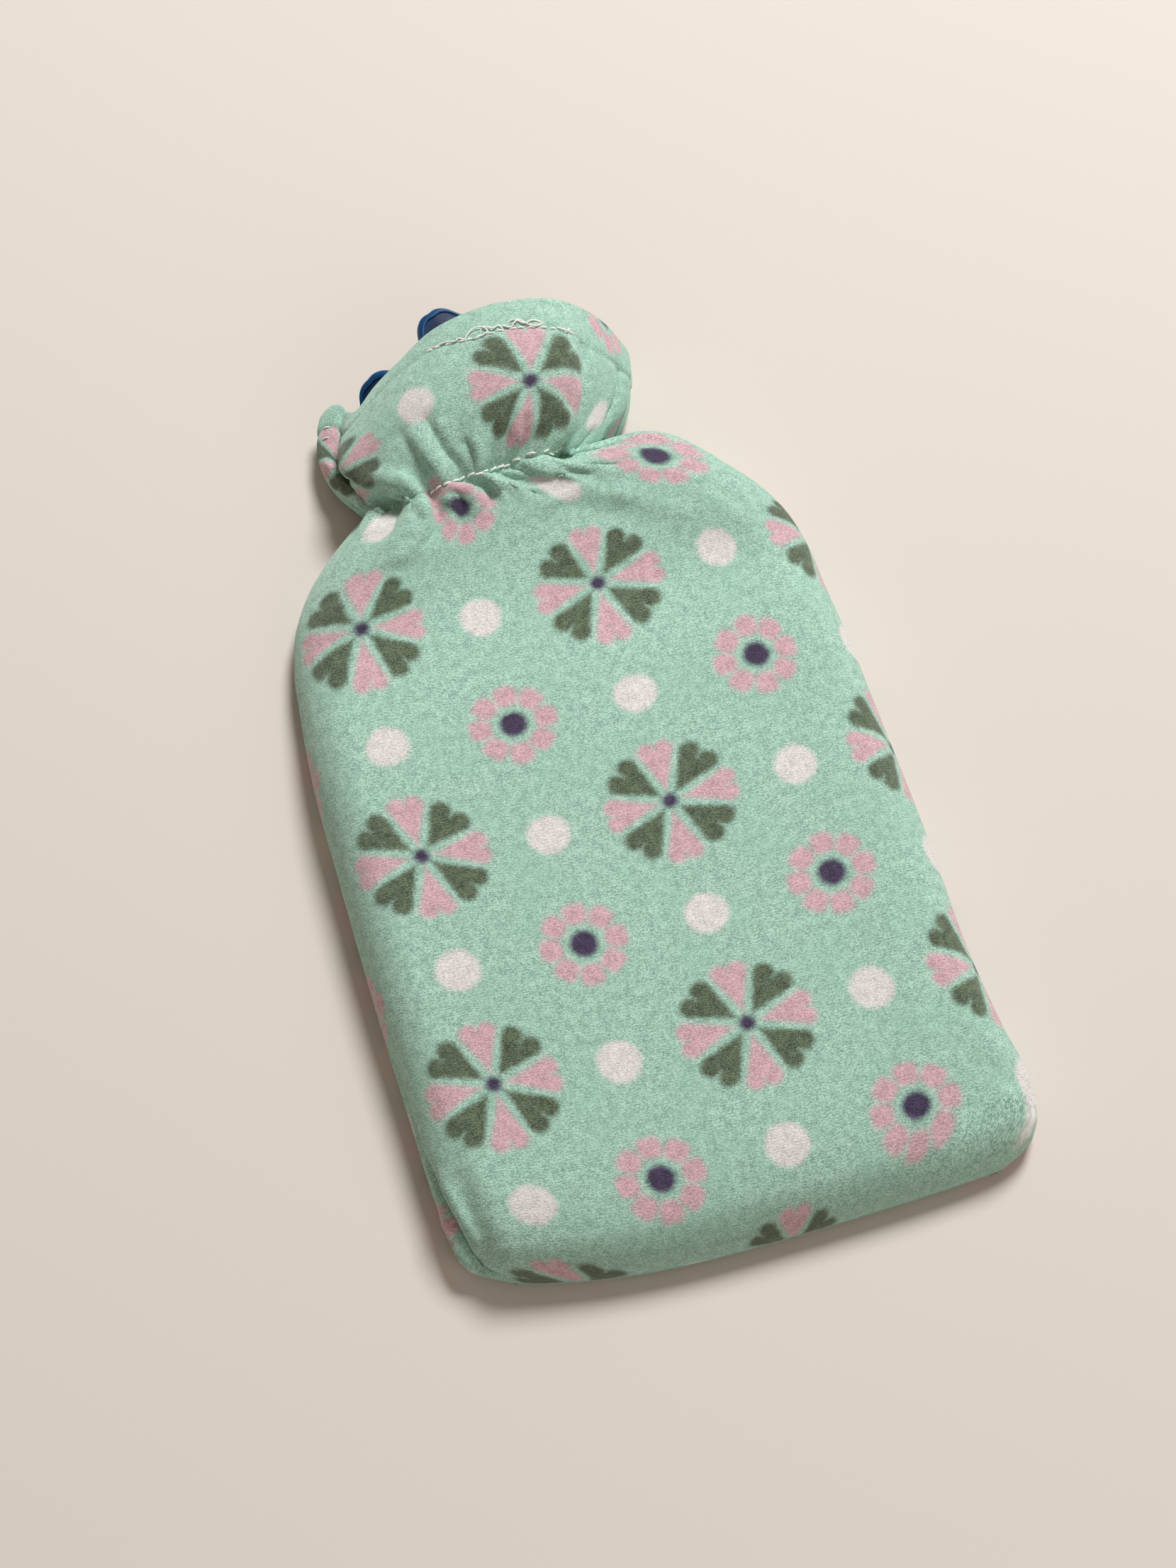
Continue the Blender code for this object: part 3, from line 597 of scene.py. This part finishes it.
def shell(first):
    """Middle of one panel's cloth, its normals, half thickness and cloth positions."""
    v = rows()
    grid_v, grid_p = np.meshgrid(v, columns(first), indexing="ij")
    middle = cloth(grid_p, grid_v)
    across = np.where(grid_p <= 1.0, 2 * grid_p - 1, 3 - 2 * grid_p)
    u = across * COLLAR_HALF

    # Sharper detail along the cloth's own normal, out from the panel
    edge = smooth(0.0, DETAIL_FADE, COLLAR_HALF - np.abs(u))
    amount = detail(u, grid_v, first == FRONT)
    middle = middle + normals(middle) * (amount * edge)[..., None]
    middle[..., 2] = np.maximum(middle[..., 2], REST_Z)

    # The panels' edges come close together along the seams
    for at, inner in ((np.s_[:, 0], np.s_[:, 3]), (np.s_[:, -1], np.s_[:, -4]), (np.s_[0], np.s_[1])):
        way = middle[inner] - middle[at]
        length = np.linalg.norm(way, axis=1, keepdims=True)
        middle[at] += way / np.maximum(length, 1e-6) * SEAM_TRIM

    half = np.full_like(u, CLOTH_T / 2)
    half += HEM_EXTRA / 2 * smooth(*HEM_STEP, grid_v - hem_line(u))
    from_seam = np.minimum(COLLAR_HALF - np.abs(u), grid_v + BOTTOM_ROLL)
    turn = 1 - np.clip(from_seam / EDGE_ROUND, 0.0, 1.0)
    half = half * np.sqrt(1 - EDGE_THIN * turn**2)
    return middle, normals(middle), half, across, grid_v


# The print's own place on the cloth as it lies, pulled about by the gathers: at each
# cloth row, its u at six places across a panel, and how far its v runs ahead there
PRINT_ACROSS = (-1.0, -0.64, -0.27, 0.13, 0.54, 1.0)
PRINT_U = (
    (-6.0, -98.0, -60.0, -26.0, 16.5, 62.0, 112.0),
    (25.0, -106.0, -68.0, -27.0, 16.5, 58.5, 106.0),
    (67.0, -107.0, -70.0, -28.0, 13.5, 57.0, 107.0),
    (110.0, -107.0, -70.5, -29.5, 14.5, 56.5, 107.0),
    (194.0, -107.0, -68.5, -29.5, 13.0, 54.5, 107.0),
    (238.0, -103.0, -66.0, -27.5, 13.0, 52.0, 103.0),
    (278.0, -99.0, -72.0, -26.5, 10.5, 57.0, 97.0),
    (320.0, -98.0, -73.0, -26.5, 13.5, 51.5, 97.0),
    (345.0, -90.0, -57.0, -24.5, 13.5, 51.5, 97.0),
)
PRINT_V = (
    (-6.0, 2.0, 2.0, 1.0, 1.0, 6.0, 24.0),
    (25.0, -0.5, -0.5, 0.0, 0.0, -0.5, -0.5),
    (67.0, -2.5, -2.5, 1.5, 0.0, -0.5, 0.0),
    (110.0, 0.0, 0.0, 2.5, 3.0, 0.0, 0.0),
    (152.0, 0.0, 0.0, 4.5, 3.0, 1.5, 0.0),
    (194.0, 0.0, 0.0, 3.0, 3.0, -0.5, -1.0),
    (240.0, -7.0, -6.0, 0.5, -2.5, -5.0, -7.0),
    (278.0, -4.5, -4.5, -3.5, -1.0, 5.5, 6.0),
    (320.0, -6.5, -6.5, -4.0, -0.5, 5.0, 6.0),
    (354.0, -4.0, -4.0, -8.0, 0.0, 4.0, 4.0),
)
PERIOD = 84.0           # of the print
# One pinwheel's centre.  The back panel is cut from another place in the cloth
PINWHEEL_AT = {FRONT: (-69.8, 67.6), BACK: (-102.8, 50.6)}
HEM_FOLD_DEGREES = (60.0, 30.0, 0.0, -30.0, -60.0)
HEM_FOLD_V = 2.2        # how far the print runs on round the hem's fold


def spread(rows, across, v):
    """A table's value at each place across and each cloth row."""
    knots = np.array([row[0] for row in rows])
    at = np.clip(v, knots[0], knots[-1])
    i = np.clip(np.searchsorted(knots, at) - 1, 0, len(knots) - 2)
    levels = np.stack([np.interp(across, PRINT_ACROSS, row[1:]) for row in rows])
    low = np.take_along_axis(levels, i[None], 0)[0]
    high = np.take_along_axis(levels, i[None] + 1, 0)[0]
    return low + (high - low) * smooth(knots[i], knots[i + 1], at)


def strips(lines):
    """Quads between each line of points and the next."""
    return [
        (a[j], a[j + 1], b[j + 1], b[j])
        for a, b in zip(lines[:-1], lines[1:])
        for j in range(len(a) - 1)
    ]


def closed_piece(name, mesh):
    """Puts a closed mesh in the scene, smooth and with its faces turned out."""
    bm = bmesh.new()
    bm.from_mesh(mesh)
    bmesh.ops.recalc_face_normals(bm, faces=bm.faces)
    bm.to_mesh(mesh)
    bm.free()
    mesh.polygons.foreach_set("use_smooth", [True] * len(mesh.polygons))
    ob = bpy.data.objects.new(name, mesh)
    bpy.context.scene.collection.objects.link(ob)
    return ob


def panel(name, first):
    """One panel as a closed mesh: outside, the hem's round fold, inside, and the edges."""
    middle, n, half, across, grid_v = shell(first)
    high, wide = across.shape
    tip = middle[-1] - middle[-2]
    tip = tip / np.maximum(np.linalg.norm(tip, axis=1, keepdims=True), 1e-6)
    round_fold = np.radians(HEM_FOLD_DEGREES)
    fold = [middle[-1] + (n[-1] * math.sin(a) + tip * math.cos(a)) * half[-1][:, None]
            for a in round_fold]
    thick = n * half[..., None]
    points = np.concatenate([*(middle + thick), *fold, *(middle - thick)]) - ORIGIN
    points[:, 2] = np.maximum(points[:, 2], 0.0)

    u = spread(PRINT_U, across, grid_v)
    v = grid_v + spread(PRINT_V, across, grid_v)
    u = np.concatenate([*u, *([u[-1]] * len(fold)), *u])
    v = np.concatenate([*v, *(v[-1] + HEM_FOLD_V * math.cos(a) for a in round_fold), *v])
    uv = (np.stack([u, v], -1) - np.array(PINWHEEL_AT[first])) / PERIOD

    lines = np.arange(len(points)).reshape(-1, wide).tolist()
    outer, inner = lines[:high], lines[-high:]
    round_hem = lines[high - 1:-high] + [inner[-1]]
    faces = strips(outer) + strips(inner) + strips(round_hem) + strips([inner[0], outer[0]])
    for j in (0, wide - 1):
        faces += strips([[line[j] for line in outer], [line[j] for line in inner]])
        faces.append([line[j] for line in round_hem])

    mesh = bpy.data.meshes.new(name)
    mesh.from_pydata((points * MM).tolist(), [], faces)
    layer = mesh.uv_layers.new(name="print")
    index = np.empty(len(mesh.loops), dtype=np.int32)
    mesh.loops.foreach_get("vertex_index", index)
    layer.data.foreach_set("uv", uv[index].ravel())
    return closed_piece(name, mesh)


# ---- the bottle

def catmull(a, b, c, d, t):
    """A smooth curve from b to c."""
    return 0.5 * (2 * b + (c - a) * t + (2 * a - 5 * b + 4 * c - d) * t**2
                  + (3 * b - a - 3 * c + d) * t**3)


def finer(knots, steps):
    """More points or loops between these, on smooth curves."""
    out = []
    last = len(knots) - 1
    for k in range(last):
        a, b, c, d = (knots[min(max(k + s, 0), last)] for s in (-1, 0, 1, 2))
        out += [catmull(a, b, c, d, s / steps) for s in range(steps)]
    return out + [knots[-1]]


def skin(name, loops, around, painted_shade=None):
    """A closed smooth skin through loops, splined finer around.

    The last argument says how much painted shade each loop of the mouth takes: 0 on its bead, 1 off
    it.
    """
    loops = np.array(loops)
    at = np.linspace(0, SECTION_POINTS, around, endpoint=False)
    i = np.floor(at).astype(int)
    corners = (loops[:, (i + k) % SECTION_POINTS] for k in (-1, 0, 1, 2))
    fine = catmull(*corners, (at - i)[None, :, None])
    points = (fine.reshape(-1, 3) - ORIGIN) * MM
    lines = np.arange(len(points)).reshape(-1, around).tolist()
    faces = [lines[0], *strips([line + line[:1] for line in lines]), lines[-1]]
    mesh = bpy.data.meshes.new(name)
    mesh.from_pydata(points.tolist(), [], faces)
    if painted_shade is not None:
        # A point attribute holds each loop's share of painted shade
        layer = mesh.attributes.new("painted_shade", "FLOAT", "POINT")
        layer.data.foreach_set("value", np.repeat(painted_shade, around).astype(np.float32))
    return closed_piece(name, mesh)


# ---- stitches

def on_cloth(u, v, lift):
    """A point over the front's outer surface at a cloth position."""
    near_p, near_v = 0.004, 0.8
    p = (u / COLLAR_HALF + 1) / 2
    grid_v, grid_p = np.meshgrid([v - near_v, v, v + near_v], [p - near_p, p, p + near_p],
                                 indexing="ij")
    places = cloth(grid_p, grid_v)
    amount = detail((2 * grid_p - 1) * COLLAR_HALF, grid_v, True)
    places = places + normals(places) * amount[..., None]
    return places[1, 1] + normals(places)[1, 1] * (CLOTH_T / 2 + lift) - ORIGIN


def tube(bm, path, radius, sides=7):
    """A closed round thread along path, thinner at its ends."""
    path = [Vector(p) for p in path]
    rings = []
    count = len(path)
    for k, p in enumerate(path):
        ahead = path[min(k + 1, count - 1)] - path[max(k - 1, 0)]
        ahead.normalize()
        side_way = ahead.cross(Vector((0.1, 0.2, 1.0))).normalized()
        other = ahead.cross(side_way)
        end = min(k, count - 1 - k)
        r = radius * (0.55 if end == 0 else 0.9 if end == 1 else 1.0)
        turns = [2 * math.pi * s / sides for s in range(sides)]
        around = [p + (side_way * math.cos(a) + other * math.sin(a)) * r for a in turns]
        rings.append([bm.verts.new(place * MM) for place in around])
    for quad in strips([ring_points + ring_points[:1] for ring_points in rings]):
        bm.faces.new(quad)
    bm.faces.new(rings[0][::-1])
    bm.faces.new(rings[-1])


def stitch_path(u, v, long, tilt, arch):
    """One stitch: in at one end, over the cloth, in at the other."""
    path = []
    for t in np.linspace(0.0, 1.0, 7):
        along = (t - 0.5) * long
        lift = (STITCH_SUNK + arch) * math.sin(math.pi * t) ** 0.6 - STITCH_SUNK
        path.append(on_cloth(u + along * math.cos(tilt), v + along * math.sin(tilt), lift))
    return path


def gather_line(u):
    """The elastic's stitches, which ride up where the shoulder swells."""
    return GATHER_V + 0.4 + 4.2 * smooth(18.0, 30.0, u) + 1.2 * smooth(32.0, 44.0, u)


# Loose thread tangled along the hem: cloth position and lift of each bend, v from the
# stitched edge
LOOSE = (
    ((-17.0, 1.4, 0.2), (-14.0, 0.6, 0.6), (-11.0, 0.9, 0.8), (-8.0, 0.2, 0.7),
     (-6.5, 1.4, 0.9), (-5.0, 0.4, 0.3)),
    ((-5.5, -0.6, 0.3), (-3.5, 1.8, 1.0), (-1.0, 2.9, 1.3), (1.4, 2.4, 1.2),
     (2.2, 0.8, 0.8), (0.5, -0.8, 0.9), (-1.8, -1.0, 0.6), (-3.2, 0.0, 0.3)),
    ((0.0, 1.6, 0.3), (2.0, 2.6, 1.0), (4.2, 1.2, 1.0), (6.0, 1.8, 0.9), (7.5, 0.4, 0.3)),
    ((5.5, 2.4, 0.2), (7.5, 1.4, 0.8), (9.5, 0.4, 0.9), (11.2, 1.6, 1.1),
     (13.0, 2.6, 1.0), (15.0, 1.0, 0.7), (17.5, 0.4, 0.8), (19.5, 1.6, 0.5)),
    ((9.0, 2.2, 0.3), (11.5, 2.9, 1.0), (14.2, 1.4, 0.9), (17.0, 2.4, 0.9), (20.5, 1.6, 0.3)),
    ((24.0, 0.9, 0.2), (25.5, -0.9, 0.9), (27.5, -1.2, 1.0), (28.2, 0.6, 1.0),
     (30.0, 0.2, 0.7), (32.5, 1.0, 0.2)),
)


def stitching(name):
    """The stitches that show, and the loose loops of thread beside the hem."""
    bm = bmesh.new()
    for row, line, lean in ((GATHER_STITCHES, gather_line, 0.26), (HEM_STITCHES, hem_line, 0.05)):
        u = row["start"]
        k = 0
        while u < row["end"]:
            # Hand-fed spacing: every stitch a little off
            tilt = lean + 0.12 * math.sin(k * 1.7)
            at_u = u + 0.35 * math.sin(k * 2.4 + 1.0)
            at_v = line(u) + 0.25 * math.sin(k * 3.1)
            tube(bm, stitch_path(at_u, at_v, row["long"], tilt, 0.55), STITCH_R)
            u += row["every"] * (1 + 0.08 * math.sin(k * 1.3))
            k += 1
    for bends in LOOSE:
        knots = [on_cloth(u, hem_line(u) + v, lift) for u, v, lift in bends]
        tube(bm, finer(knots, 4), LOOSE_R, 6)
    for u, v in FLAP_STITCHES:
        tube(bm, stitch_path(u, v, 5.5, 0.1, 0.4), FLAP_R)
    mesh = bpy.data.meshes.new(name)
    bm.to_mesh(mesh)
    bm.free()
    return closed_piece(name, mesh)


# ---- materials

MINT = (0.580, 0.890, 0.750)
MINT_DARK = (0.205, 0.365, 0.305)   # between the fibres
MINT_DEEP = (0.340, 0.620, 0.480)   # in wide, faint patches
PINK = (0.905, 0.575, 0.650)
GREEN = (0.182, 0.234, 0.142)
PURPLE = (0.098, 0.048, 0.155)
PALE = (1.000, 0.960, 0.950)
BLUE = (0.001, 0.060, 0.190)
BLUE_BLOOM = (0.002, 0.085, 0.240)
# Painted shade: the bottle's mouth, all but its bead, is coloured this much darker than the rubber's
# blue
BLUE_PAINTED_SHADE = (0.001, 0.009, 0.055)
THREAD = (0.94, 0.96, 0.92)
THREAD_LIGHT = (1.00, 1.00, 0.98)
FLOOR = (0.78, 0.725, 0.665)
BEAD_UNSHADED_FROM = (0.34, 0.41)    # the bead's blue starts and ends at these shares of the mouth, and painted shade darkens the rest of the mouth
BEAD_UNSHADED_TO = (0.60, 0.66)

# Print, in millimetres: a heart petal's lobe along and across, the lobe's radius, where
# its two straight sides meet, and their slope
PETAL_PINK = (19.2, 2.8, 3.00, 4.3, 0.415)
PETAL_GREEN = (18.2, 3.35, 3.55, 3.7, 0.500)
HUB_RADIUS = 2.6
DAISY_PETAL = dict(at=11.0, half=3.75, across=3.95, power=3.0)
DAISY_DISC = 4.7
DOT_RADIUS = 7.2
SOFT_EDGE = 1.5

# Noises: scale per mm of cloth, detail and roughness
FRAY = (0.9, 4.0, 0.75)     # the fibres pull the print's edges about
FRAY_REACH = 2.6
WIDE = (0.045, 2.0, 0.5)
# and for the fibres, their share of the speckle too
FINE = (3.6, 2.0, 0.60, 2.6)
TUFTS = (1.6, 3.0, 0.75, 2.4)
CLUMPS = (0.30, 3.0, 0.60, 1.1)
FIBRE_STRETCH = (0.55, 1.0, 1.0)    # they lie across the cloth
RIB = dict(every=0.95, slant=0.05, wander=1.2, share=0.12)
SPECKLE = 0.58          # the speckle runs from dark to light over this, each way


class Material:
    """A new material, with short names for its nodes."""

    def __init__(self, name):
        self.made = bpy.data.materials.new(name)
        self.made.use_nodes = True
        self.tree = self.made.node_tree
        self.shader = self.tree.nodes["Principled BSDF"]

    def new(self, kind, **settings):
        node = self.tree.nodes.new(kind)
        for key, value in settings.items():
            setattr(node, key, value)
        return node

    def put(self, socket, value):
        """Links a socket to another, or sets its colour or number."""
        if isinstance(value, bpy.types.NodeSocket):
            self.tree.links.new(value, socket)
        elif socket.type == "RGBA":
            socket.default_value = (*value, 1.0)
        else:
            socket.default_value = value

    def fill(self, node, **inputs):
        """Puts a node's inputs, their names written with underscores."""
        for name, value in inputs.items():
            self.put(node.inputs[name.replace("_", " ")], value)
        return node.outputs

    def in_order(self, node, *values):
        """Puts a node's inputs one after another."""
        for socket, value in zip(node.inputs, values):
            self.put(socket, value)
        return node.outputs[0]

    def math(self, operation, *values):
        return self.in_order(self.new("ShaderNodeMath", operation=operation), *values)

    def plus(self, a, b):
        return self.math("ADD", a, b)

    def minus(self, a, b):
        return self.math("SUBTRACT", a, b)

    def times(self, a, b):
        return self.math("MULTIPLY", a, b)

    def wrap(self, value, half):
        """A number repeated between minus half and half."""
        return self.math("WRAP", value, half, -half)

    def length(self, x, y):
        return self.math("SQRT", self.plus(self.times(x, x), self.times(y, y)))

    def vector(self, operation, a, b):
        return self.in_order(self.new("ShaderNodeVectorMath", operation=operation), a, b)

    def scaled(self, place, scale):
        return self.vector("MULTIPLY", place, (scale, scale, scale))

    def colour(self, factor, a, b):
        """A colour between a and b."""
        node = self.new("ShaderNodeMix", data_type="RGBA")
        # Its inputs 6 and 7 are the two colours
        for k, value in ((0, factor), (6, a), (7, b)):
            self.put(node.inputs[k], value)
        return node.outputs[2]

    def step(self, value, low, high, to_low=0.0, to_high=1.0):
        """Smooth from to_low at low to to_high at high."""
        node = self.new("ShaderNodeMapRange", interpolation_type="SMOOTHSTEP")
        return self.in_order(node, value, low, high, to_low, to_high)

    def inside(self, distance):
        """1 inside a motif's edge and 0 outside, over the soft edge between."""
        return self.step(distance, SOFT_EDGE, -SOFT_EDGE)

    def noise(self, place, scale, detail, roughness, output=0):
        node = self.new("ShaderNodeTexNoise")
        return self.fill(node, Vector=place, Scale=scale, Detail=detail, Roughness=roughness)[output]

    def bump(self, height, strength, distance):
        node = self.new("ShaderNodeBump")
        made = self.fill(node, Height=height, Strength=strength, Distance=distance)[0]
        self.fill(self.shader, Normal=made)

    def object_place(self):
        return self.new("ShaderNodeTexCoord").outputs["Object"]


def polar(g, x, y):
    """Place along and across the nearest of eight petals, and distance and turn."""
    r = g.length(x, y)
    turn = g.math("ARCTAN2", y, x)
    local = g.wrap(turn, math.pi / 8)
    across = g.math("ABSOLUTE", g.times(r, g.math("SINE", local)))
    return g.times(r, g.math("COSINE", local)), across, r, turn


def pinwheel(g, x, y):
    """Eight heart petals, pink on the axes and green between: how much petal, green, hub."""
    along, across, r, turn = polar(g, x, y)
    green = g.step(g.math("COSINE", g.times(turn, 4.0)), 0.05, -0.05)
    size = [g.math("MULTIPLY_ADD", green, b - a, a) for a, b in zip(PETAL_PINK, PETAL_GREEN)]
    lobe_at, lobe_out, lobe_radius, tip_at, slope = size
    dx = g.minus(along, lobe_at)
    lobe = g.minus(g.length(dx, g.minus(across, lobe_out)), lobe_radius)
    wedge = g.minus(across, g.times(g.minus(along, tip_at), slope))
    petal = g.math("SMOOTH_MIN", lobe, g.math("MAXIMUM", wedge, dx), 0.6)
    return g.inside(petal), green, g.inside(g.minus(r, HUB_RADIUS))


def daisy(g, x, y):
    """A ring of eight squarish petals, and the disc inside."""
    along, across, r, _ = polar(g, x, y)
    half, power = DAISY_PETAL["half"], DAISY_PETAL["power"]
    dx = g.math("DIVIDE", g.math("ABSOLUTE", g.minus(along, DAISY_PETAL["at"])), half)
    dy = g.math("DIVIDE", across, DAISY_PETAL["across"])
    total = g.plus(g.math("POWER", dx, power), g.math("POWER", dy, power))
    away = g.minus(g.math("POWER", total, 1 / power), 1.0)
    return g.inside(g.times(away, half)), g.inside(g.minus(r, DAISY_DISC))


def fleece(name):
    """Brushed fleece with the print, speckled by its fibres."""
    g = Material(name)
    cloth_mm = g.scaled(g.new("ShaderNodeUVMap", uv_map="print").outputs[0], PERIOD)
    fray = g.vector("SUBTRACT", g.noise(cloth_mm, *FRAY, 1), (0.5, 0.5, 0.5))
    at = g.new("ShaderNodeSeparateXYZ")
    g.put(at.inputs[0], g.vector("ADD", cloth_mm, g.scaled(fray, FRAY_REACH)))
    x, y = at.outputs[0], at.outputs[1]

    # Pinwheels, and daisies halfway between them both ways
    half = PERIOD / 2
    petal, is_green, hub = pinwheel(g, g.wrap(x, half), g.wrap(y, half))
    ring_petals, disc = daisy(g, g.wrap(g.minus(x, half), half), g.wrap(g.minus(y, half), half))
    # The dots lie halfway between on a turned lattice
    across = g.wrap(g.minus(g.plus(x, y), half), half)
    along = g.wrap(g.minus(g.minus(x, y), half), half)
    dot = g.inside(g.minus(g.times(g.length(across, along), math.sqrt(0.5)), DOT_RADIUS))

    # Fine speckle, clumps of nap, and the knit's ribs under them
    drawn_out = g.vector("MULTIPLY", cloth_mm, FIBRE_STRETCH)
    fine = g.noise(drawn_out, *FINE[:3])
    tufts = g.noise(drawn_out, *TUFTS[:3])
    clumps = g.noise(cloth_mm, *CLUMPS[:3])
    rib_at = g.plus(g.plus(y, g.times(x, RIB["slant"])), g.times(clumps, RIB["wander"]))
    ribs = g.math("SINE", g.times(rib_at, 2 * math.pi / RIB["every"]))
    speckle = g.times(ribs, RIB["share"])
    for fibres, size in ((fine, FINE), (tufts, TUFTS), (clumps, CLUMPS)):
        speckle = g.plus(speckle, g.times(g.minus(fibres, 0.5), size[3]))
    speckle = g.step(speckle, -SPECKLE, SPECKLE)
    wide = g.noise(cloth_mm, *WIDE)
    ground = g.colour(speckle, MINT_DARK, MINT)
    ground = g.colour(g.step(wide, 0.35, 0.70, 0.0, 0.26), ground, MINT_DEEP)

    def ink(colour, depth):
        """A printed colour, darker between the fibres."""
        return g.colour(speckle, tuple(c * depth for c in colour), colour)

    # The ground shows through the print where the nap is thin
    strength = g.step(tufts, 0.22, 0.48, 0.62, 0.98)
    shade = ground
    for cover, printed in (
        (dot, ink(PALE, 0.60)),
        (petal, g.colour(is_green, ink(PINK, 0.50), ink(GREEN, 0.12))),
        (ring_petals, ink(PINK, 0.50)),
        (g.math("MAXIMUM", hub, disc), ink(PURPLE, 0.08)),
    ):
        shade = g.colour(g.times(cover, strength), shade, printed)

    g.fill(g.shader, Base_Color=shade, Roughness=0.95, Specular_IOR_Level=0.15,
           Sheen_Weight=0.35, Sheen_Roughness=0.55, Sheen_Tint=(0.85, 1.0, 0.93))
    g.bump(g.plus(g.times(fine, 0.5), tufts), 0.55, 0.0005)
    return g.made


def rubber(name):
    """Moulded dark blue rubber with a faint bloom, and painted shade over the mouth off its bead."""
    g = Material(name)
    place = g.object_place()
    bloom = g.noise(place, 90.0, 4.0, 0.6)
    # The rubber's own blue with its bloom, which the mouth shows only on its bead
    outside = g.colour(g.step(bloom, 0.35, 0.75), BLUE, BLUE_BLOOM)
    # Painted shade: the mesh attribute darkens the rest of the mouth to the shaded blue
    painted_shade = g.new("ShaderNodeAttribute", attribute_name="painted_shade").outputs["Fac"]
    g.fill(g.shader, Base_Color=g.colour(painted_shade, outside, BLUE_PAINTED_SHADE), Specular_IOR_Level=0.35,
           Roughness=g.step(bloom, 0.3, 0.8, 0.34, 0.52))
    g.bump(g.noise(place, 1400.0, 2.0, 0.5), 0.25, 0.00015)
    return g.made


def thread(name):
    """Off-white sewing thread, twisted."""
    g = Material(name)
    wave = g.new("ShaderNodeTexWave")
    twist = g.fill(wave, Vector=g.object_place(), Scale=700.0, Distortion=2.0)["Fac"]
    g.fill(g.shader, Base_Color=g.colour(twist, THREAD, THREAD_LIGHT), Roughness=0.8,
           Sheen_Weight=0.3)
    return g.made


def plaster(name):
    """The pale floor."""
    g = Material(name)
    g.fill(g.shader, Base_Color=FLOOR, Roughness=0.9, Specular_IOR_Level=0.2)
    return g.made


# ---- put together

def dress():
    """Makes the pieces, hides the CAD part that each stands for, and sets each to ride on the root.
    """
    front = panel("cover_front", FRONT)
    back = panel("cover_back", BACK)
    body_loops, mouth_loops = bottle_sections()
    body_piece = skin("rubber_body", finer(body_loops, 2), 96)
    mouth_loops = finer(mouth_loops, 3)
    # Painted shade covers the mouth's loops off the bead, and the bead keeps the rubber's blue
    place = np.arange(len(mouth_loops)) / len(mouth_loops)
    bead = smooth(*BEAD_UNSHADED_FROM, place) * (1 - smooth(*BEAD_UNSHADED_TO, place))
    mouth = skin("rubber_mouth", mouth_loops, 192, 1 - bead)
    stitches = stitching("stitching")

    blue = rubber("dark_blue_rubber")
    for piece, look, node, slot in (
        (front, fleece("printed_fleece"), "front_panel", "mint_fleece"),
        (back, fleece("printed_fleece_back"), "back_panel", "mint_fleece_back"),
        (body_piece, blue, "bottle_body", "blue_rubber"),
        (mouth, blue, "bottle_mouth", "blue_rubber_mouth"),
    ):
        piece.data.materials.append(look)
        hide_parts(node)
        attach(piece, "root")
    stitches.data.materials.append(thread("off_white_thread"))
    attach(stitches, "root")


def area_light(name, place, size, watts, colour):
    """A round lamp that shines on the origin."""
    lamp = bpy.data.lights.new(name, "AREA")
    lamp.shape = "DISK"
    lamp.size = size
    lamp.energy = watts
    lamp.color = colour
    ob = bpy.data.objects.new(name, lamp)
    ob.location = place
    ob.rotation_euler = (-Vector(place)).to_track_quat("-Z", "Y").to_euler()
    bpy.context.scene.collection.objects.link(ob)


SKY = (1.0, 0.82, 0.69)
SKY_STRENGTH = 0.24
# Lamps: name, place, size, watts, colour
LAMPS = (
    ("key", (1.10, 1.55, 2.20), 1.0, 79.0, (1.0, 1.0, 1.0)),
    ("fill", (0.9, -1.5, 1.0), 1.2, 4.5, (1.0, 0.96, 0.92)),
)
FLOOR_SIZE = 8.0
FLOOR_DROP = 0.0002     # the floor is this far below the part, in metres

# The camera in the work frame: its place, and its right and down
CAMERA_AT = (-116.5, -150.9, 707.8)
CAMERA_RIGHT = (0.9596, -0.2808, 0.0191)
CAMERA_DOWN = (-0.2448, -0.8662, -0.4356)
CAMERA_LENS = 52.08


def stage():
    """Floor, soft light and camera."""
    scene = bpy.context.scene
    bpy.ops.mesh.primitive_plane_add(size=FLOOR_SIZE, location=(0, 0, -FLOOR_DROP))
    floor = bpy.context.object
    floor.name = "floor"
    floor.data.materials.append(plaster("pale_floor"))

    world = bpy.data.worlds.new("studio")
    world.use_nodes = True
    sky = world.node_tree.nodes["Background"]
    sky.inputs["Color"].default_value = (*SKY, 1.0)
    sky.inputs["Strength"].default_value = SKY_STRENGTH
    scene.world = world
    for lamp in LAMPS:
        area_light(*lamp)

    lens = bpy.data.cameras.new("camera")
    lens.lens = CAMERA_LENS
    lens.sensor_width = 36.0
    lens.clip_start = 0.01
    camera = bpy.data.objects.new("camera", lens)
    right = Vector(CAMERA_RIGHT).normalized()
    down = Vector(CAMERA_DOWN)
    down = (down - right * down.dot(right)).normalized()
    forward = right.cross(down)
    turn = Matrix((right, -down, -forward)).transposed().to_4x4()
    place = (np.array(CAMERA_AT) - ORIGIN) * MM
    camera.matrix_world = Matrix.Translation(Vector(place)) @ turn
    scene.collection.objects.link(camera)
    scene.camera = camera
    scene.view_settings.view_transform = "Standard"


dress()
stage()
